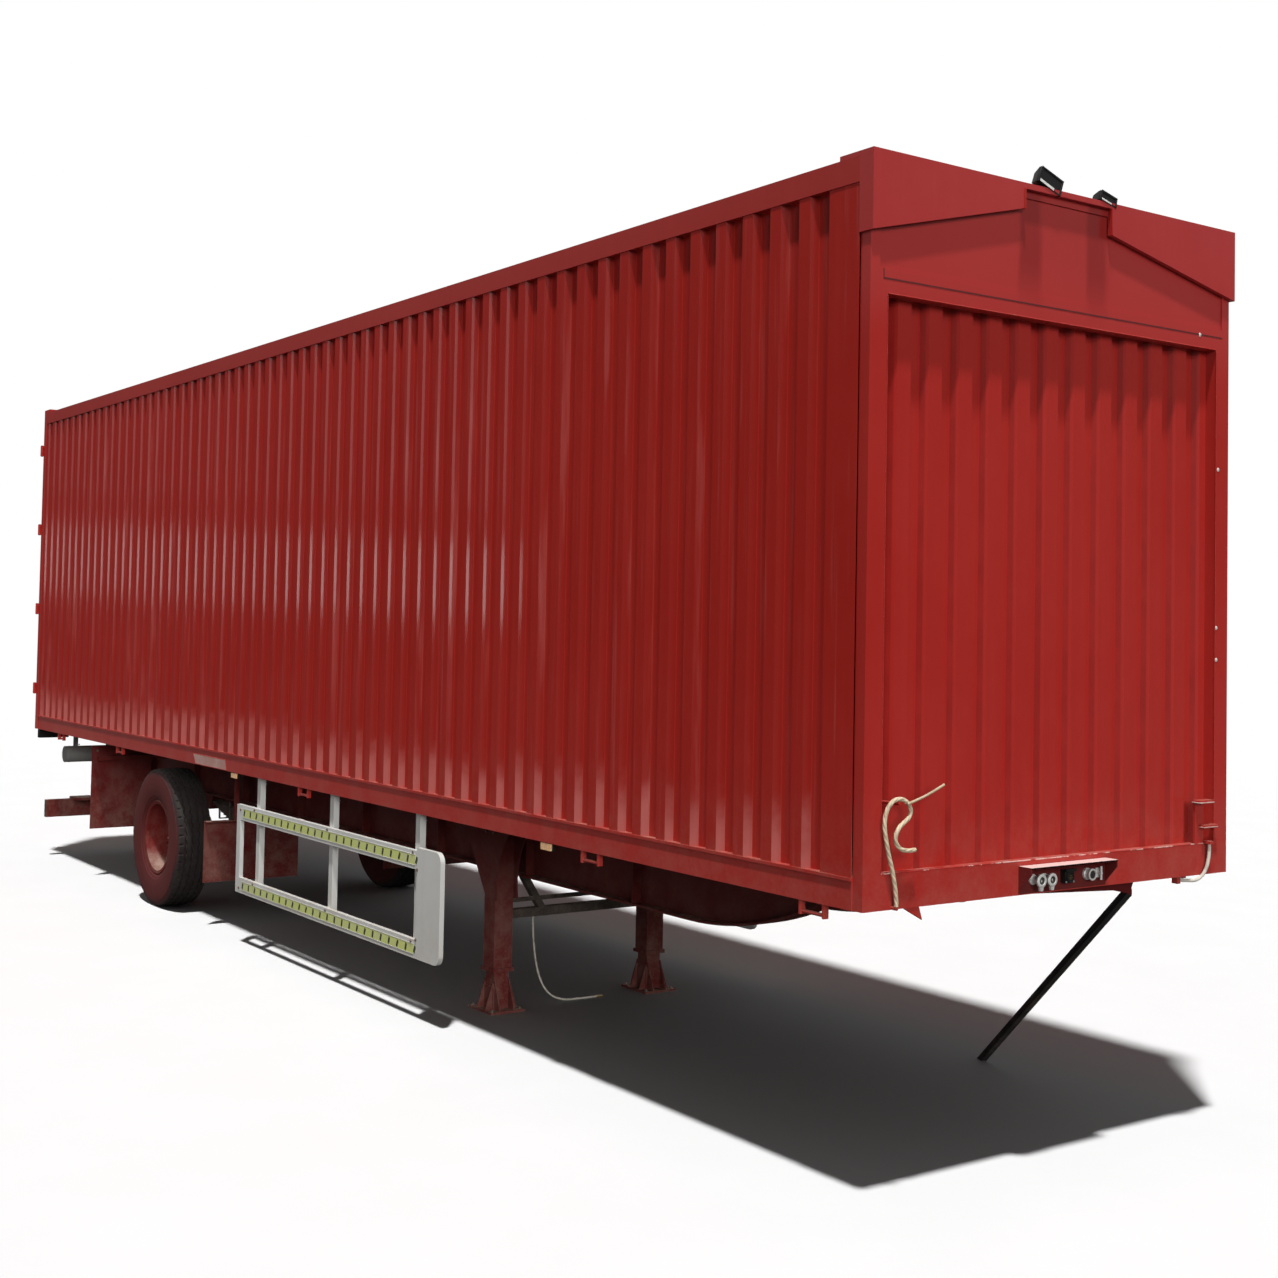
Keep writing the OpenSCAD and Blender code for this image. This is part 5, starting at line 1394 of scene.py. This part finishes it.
def makeRunningGear():
    ax = under["axleX"]
    pipes, cable = Shape(), Shape()
    for y, z, r in under["pipes"]:
        shape = cable if r > 0.006 else pipes
        shape.sweep(smoothRoute([at(-1.30, -y, z), at(-4.0, -y, z), at(-7.0, -y, z), at(ax + 0.35, -y, z)], 0.10), r,
                    10)
    make("air_pipes", "trailer", "blackPlastic", pipes, 0, 60)
    make("light_cable", "trailer", "blackRubber", cable, 0, 60)
    first = at(-1.6, -0.402, 1.183)
    grow("pipe_clips", "trailer", "row", [first], "zincSteel", Count=11, Step=(-under["clipStep"], 0.0, 0.0),
         Size=(0.016, 0.026, 0.066), Lean=(0.0, 0.0, 0.0), Jitter=0.02)
    nuts, clips, bands, rods = [], Shape(), Shape(), Shape()
    for side in (-1, 1):
        for dx in (-0.078, 0.078):
            for dy in (-0.057, 0.057):
                nuts.append(at(ax + dx, side * under["springY"] + dy, 0.4815))
        for dx in (-0.33, 0.33):
            for s in (-1, 1):
                clips.block(at(ax + dx - 0.016, side * under["springY"] + s * 0.048 - 0.003, 0.655),
                            at(ax + dx + 0.016, side * under["springY"] + s * 0.048 + 0.003, 0.772))
            clips.block(at(ax + dx - 0.016, side * under["springY"] - 0.050, 0.648),
                        at(ax + dx + 0.016, side * under["springY"] + 0.050, 0.6555))
        chamber = at(ax + under["brakeX"], side * under["brakeY"], under["brakeZ"])
        bands.turn(chamber, (1, 0, 0), [(0.080, -0.010), (0.087, -0.010), (0.0885, 0.0), (0.087, 0.010),
                (0.080, 0.010)], 56)
        rods.bar(at(ax + 0.085, side * under["brakeY"], 0.610), at(ax + 0.030, side * under["brakeY"], 0.585), 0.008,
                 14)
        rods.slab([(noseX + ax + 0.128, 0.500), (noseX + ax + 0.095, 0.497), (noseX + ax + 0.022, 0.575),
                   (noseX + ax + 0.035, 0.598)],
                  "y", side * under["brakeY"] - 0.009, side * under["brakeY"] + 0.009)
    grow("u_bolt_nuts", "trailer", "bolts", nuts, "boltSteel", (0, 0, -1), size=(0.0155, 0.016, 0.020))
    make("spring_clips", "trailer", "springSteel", clips, 0.0012)
    make("brake_bands", "trailer", "zincSteel", bands, 0.0006)
    make("brake_levers", "trailer", "darkSteel", rods, 0.0015)
    studs = [at(ax + under["brakeX"], side * under["brakeY"], under["brakeZ"] + dz)
             for side in (-1, 1) for dz in (0.088, -0.088)]
    grow("brake_band_bolts", "trailer", "bolts", studs, "zincSteel", [(0, 0, 1), (0, 0, -1)] * 2,
         size=(0.006, 0.006, 0.004))
    # valve block with its pipes, between the beams ahead of the axle
    valve = Shape()
    valve.block(at(ax + 0.66, -0.06, 1.090), at(ax + 0.78, 0.06, 1.180))
    valve.turn(at(ax + 0.72, 0.0, 1.075), (0, 0, 1),
               [(0.0005, -0.030), (0.040, -0.030), (0.046, -0.018), (0.046, 0.016), (0.0005, 0.016)], 32)
    valve.block(at(ax + 0.70, -0.020, 1.175), at(ax + 0.74, 0.020, 1.262))
    make("relay_valve", "trailer", "castMetal", valve, 0.002)
    lines = Shape()
    for side in (-1, 1):
        lines.sweep(smoothRoute([at(ax + 0.70, side * 0.055, 1.12), at(ax + 0.64, side * 0.12, 1.10),
                                 at(ax + 0.52, side * 0.20, 1.00),
                                 at(ax + 0.40, side * 0.245, 0.86), at(ax + 0.30, side * under["brakeY"], 0.74),
                                 at(ax + 0.208, side * under["brakeY"], 0.655)], 0.02), 0.0065, 10)
    make("brake_pipes", "trailer", "blackPlastic", lines, 0, 60)


makeRunningGear()


# ---- landing gear: gear case, folded crank, weld seams and bolts
legs = {"x": -3.93, "y": 0.58, "half": 0.065}


def makeLandingGear():
    x, y = legs["x"], legs["y"]
    face = y + legs["half"]
    case = Shape()
    case.block(at(x - 0.060, face - 0.002, 0.640), at(x + 0.075, face + 0.055, 0.800))
    case.block(at(x - 0.045, face + 0.050, 0.655), at(x + 0.060, face + 0.068, 0.785))
    make("gear_case", "trailer", "chassisPaint", case, 0.006)
    screws = [at(x + a, face + 0.068, z) for a in (-0.036, 0.050) for z in (0.665, 0.775)]
    grow("gear_case_bolts", "trailer", "bolts", screws, "boltSteel", (0, 1, 0), size=(0.0065, 0.006, 0.002))
    crank = Shape()
    crank.sweep(smoothRoute([at(x + 0.01, y + 0.125, 0.720), at(x + 0.01, y + 0.165, 0.722),
                             at(x + 0.03, y + 0.185, 0.760),
                             at(x + 0.06, y + 0.188, 0.860), at(x + 0.11, y + 0.190, 1.000),
                             at(x + 0.15, y + 0.190, 1.100)], 0.012), 0.0095, 12)
    crank.bar(at(x + 0.15, y + 0.192, 1.098), at(x + 0.15, y + 0.300, 1.104), 0.0095, 14)
    make("leg_crank", "trailer", "greasySteel", crank, 0, 60)
    clip = Shape()
    clip.block(at(x + 0.095, y + 0.170, 0.985), at(x + 0.125, y + 0.205, 1.001))
    clip.block(at(x + 0.095, y + 0.168, 0.985), at(x + 0.125, y + 0.176, 1.030))
    clip.bar(at(x + 0.11, y + 0.172, 1.026), at(x + 0.11, y + 0.020, 1.060), 0.009, 12)
    make("crank_clip", "trailer", "chassisPaint", clip, 0.001)
    corner = legs["half"] - 0.002
    seams = [[at(x + a * corner, side * y + b * corner, z) for z in (0.27, 0.62)] for side in (-1, 1) for b in (-1,
            1) for a in (-1, 1)]
    weld("leg_seams", seams, "chassisPaint", 0.0032, 0.006)
    bolts = [at(x + a * 0.045, side * (y + legs["half"]), z) for side in (-1, 1) for a in (-1, 1) for z in (1.10,
            1.19)]
    facing = [(0, side, 0) for side in (-1, 1) for _ in range(4)]
    grow("leg_bolts", "trailer", "bolts", bolts, "boltSteel", facing, size=(0.0115, 0.010, 0.005))
    pads = [at(x + a * 0.118, side * y + b * 0.098, 0.014) for side in (-1, 1) for a in (-1, 1) for b in (-1, 1)]
    grow("foot_bolts", "trailer", "bolts", pads, "boltSteel", (0, 0, 1), size=(0.010, 0.008, 0.004))
    # steel pipe looped low between the legs
    loop = Shape()
    loop.sweep(smoothRoute([at(-4.10, -0.05, 1.10), at(-4.06, -0.05, 1.03), at(-4.02, -0.04, 0.985),
                            at(-3.85, -0.02, 0.965), at(-3.4, 0.02, 0.955),
                            at(-3.05, 0.04, 0.965), at(-2.92, 0.05, 1.02), at(-2.90, 0.05, 1.12)], 0.02), 0.0095, 12)
    make("low_pipe", "trailer", "zincSteel", loop, 0, 60)


makeLandingGear()


# ---- air tank, mud plates, bumper
rear = {"tankX": -11.454, "tankZ": 1.03, "tankFrom": 0.56, "tankTo": 1.08}


def makeRearUnder():
    rings = Shape()
    tank = at(rear["tankX"], 0, rear["tankZ"])
    side = -1 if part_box("air_tank")[0].y < 0 else 1
    for y in (rear["tankFrom"] + 0.045, rear["tankTo"] - 0.045):
        rings.turn(Vector((tank.x, side * y, tank.z)), (0, 1, 0),
                   [(0.0775, -0.004), (0.0795, -0.003), (0.0800, 0.0), (0.0795, 0.003), (0.0775, 0.004)], 56)
    make("tank_seams", "trailer", "tankPaint", rings, 0, 60)
    drain = Shape()
    drain.turn(Vector((tank.x, side * 0.80, tank.z - 0.080)), (0, 0, -1),
               [(0.0005, -0.004), (0.012, -0.004), (0.012, 0.008), (0.007, 0.010), (0.007, 0.024), (0.0005, 0.024)],
               24)
    make("tank_drain", "trailer", "brass", drain, 0.0005)
    grow("tank_strap_bolts", "trailer", "bolts",
         [Vector((tank.x + s * 0.06, side * y, tank.z + 0.088)) for y in (0.64, 0.96) for s in (-1, 1)],
         "zincSteel", (0, 0, 1), size=(0.007, 0.007, 0.008))
    bolts = [at(-10.296, side * y, 1.15) for side in (-1, 1) for y in (0.68, 0.90, 1.12)]
    grow("mud_plate_bolts", "trailer", "bolts", bolts, "boltSteel", (1, 0, 0), size=(0.009, 0.006, 0.003))
    caps = Shape()
    low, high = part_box("rear_bumper")
    for side in (-1, 1):
        inner, outer = sorted((side * (high.y - 0.006), side * (high.y + 0.002)))
        caps.block((low.x + 0.002, inner, 0.388), (low.x + 0.058, outer, 0.552))
    make("bumper_caps", "trailer", "blackRubber", caps, 0.002)
    strips = Shape()
    for k in range(-2, 3):
        strips.block((low.x - 0.0012, k * 0.42 - 0.15, 0.440), (low.x + 0.001, k * 0.42 + 0.15, 0.495))
    make("bumper_strips", "trailer", "reflector", strips)


makeRearUnder()


# ---- rear doors: seals, hinge pins, bolts and the lock bars' collars; a blank plate between the lamps
door = {"back": -11.995, "face": -12.004, "bar": -12.023, "hinge": (-12.025, 1.228),
        "hinges": (1.651, 2.442, 3.233, 4.024), "bars": (0.898, 0.408), "guides": (1.426, 2.211, 3.464, 4.249)}


def makeDoors():
    for side, label in ((1, "left"), (-1, "right")):
        body = "door_" + label
        seal = Shape()

        def strip(y0, z0, y1, z1):
            a, b = sorted((side * y0, side * y1))
            seal.block(at(door["back"] + 0.012, a, z0), at(door["back"] + 0.030, b, z1))

        strip(0.0065, 1.395, 0.0125, 4.280)
        strip(1.108, 1.395, 1.1165, 4.280)
        strip(0.0065, 1.389, 1.1165, 1.395)
        strip(0.0065, 4.280, 1.1165, 4.286)
        make("door_seal_" + label, body, "blackRubber", seal, 0.0015)
        pins, strapBolts = Shape(), []
        for z in door["hinges"]:
            pins.turn(at(door["hinge"][0], side * door["hinge"][1], z), (0, 0, 1),
                      [(0.0005, -0.056), (0.0095, -0.056), (0.0125, -0.0535), (0.0125, -0.050), (0.0125, 0.050),
                                                              (0.0125, 0.0535), (0.0095, 0.056), (0.0005, 0.056)], 24)
            strapBolts += [at(-12.002, side * y, z + dz) for y in (0.99, 1.06) for dz in (-0.016, 0.016)]
        make("hinge_pins_" + label, body, "greasySteel", pins, 0.0005)
        grow("hinge_strap_bolts_" + label, body, "bolts", strapBolts, "bodyPaint", (-1, 0, 0),
             size=(0.0085, 0.006, 0.002))
        guideBolts = [at(door["face"], side * (y + dy),
                         z) for y in door["bars"] for z in door["guides"] for dy in (-0.036, 0.036)]
        grow("lock_guide_bolts_" + label, body, "bolts", guideBolts, "zincSteel", (-1, 0, 0),
             size=(0.0075, 0.006, 0.002))
        collars = Shape()
        for y in door["bars"]:
            for z in (1.911, 2.051):
                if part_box("lock_bars_" + label)[0].z < z:
                    collars.turn(at(door["bar"], side * y, z), (0, 0, 1),
                                 [(0.0135, -0.020), (0.019, -0.020), (0.020, -0.017), (0.020, 0.017), (0.019, 0.020),
                                  (0.0135, 0.020)], 28)
            for z in (1.300, 4.350):
                collars.turn(at(door["bar"], side * y, z), (0, 0, 1),
                             [(0.0135, -0.006), (0.018, -0.006), (0.018, 0.006), (0.0135, 0.006)], 28)
        make("lock_collars_" + label, body, "zincSteel", collars, 0.0006)
    plate = Shape()
    plate.block(at(-11.862, -0.27, 0.585), at(-11.856, 0.27, 0.700))
    plate.block(at(-11.858, -0.20, 0.540), at(-11.850, -0.17, 0.705))
    plate.block(at(-11.858, 0.17, 0.540), at(-11.850, 0.20, 0.705))
    make("blank_plate", "trailer", "whitePaint", plate, 0.002)
    grow("blank_plate_screws", "trailer", "rivets", [at(-11.862, y, 0.642) for y in (-0.22, 0.22)], "zincSteel",
         (-1, 0, 0), size=(0.006, 0.003))
    weld("rear_frame_seams", [[at(-12.0005, y, z) for z in (1.40, 4.28)] for y in (-1.118, 1.118)], "framePaint",
         0.0024, 0.0048)


makeDoors()
print("rear and underbody pieces made")

# every part of the frame wears a finish
for name, node in nodes.items():
    if not node.data.materials or node.data.materials[0] is None:
        print("no finish on", name)
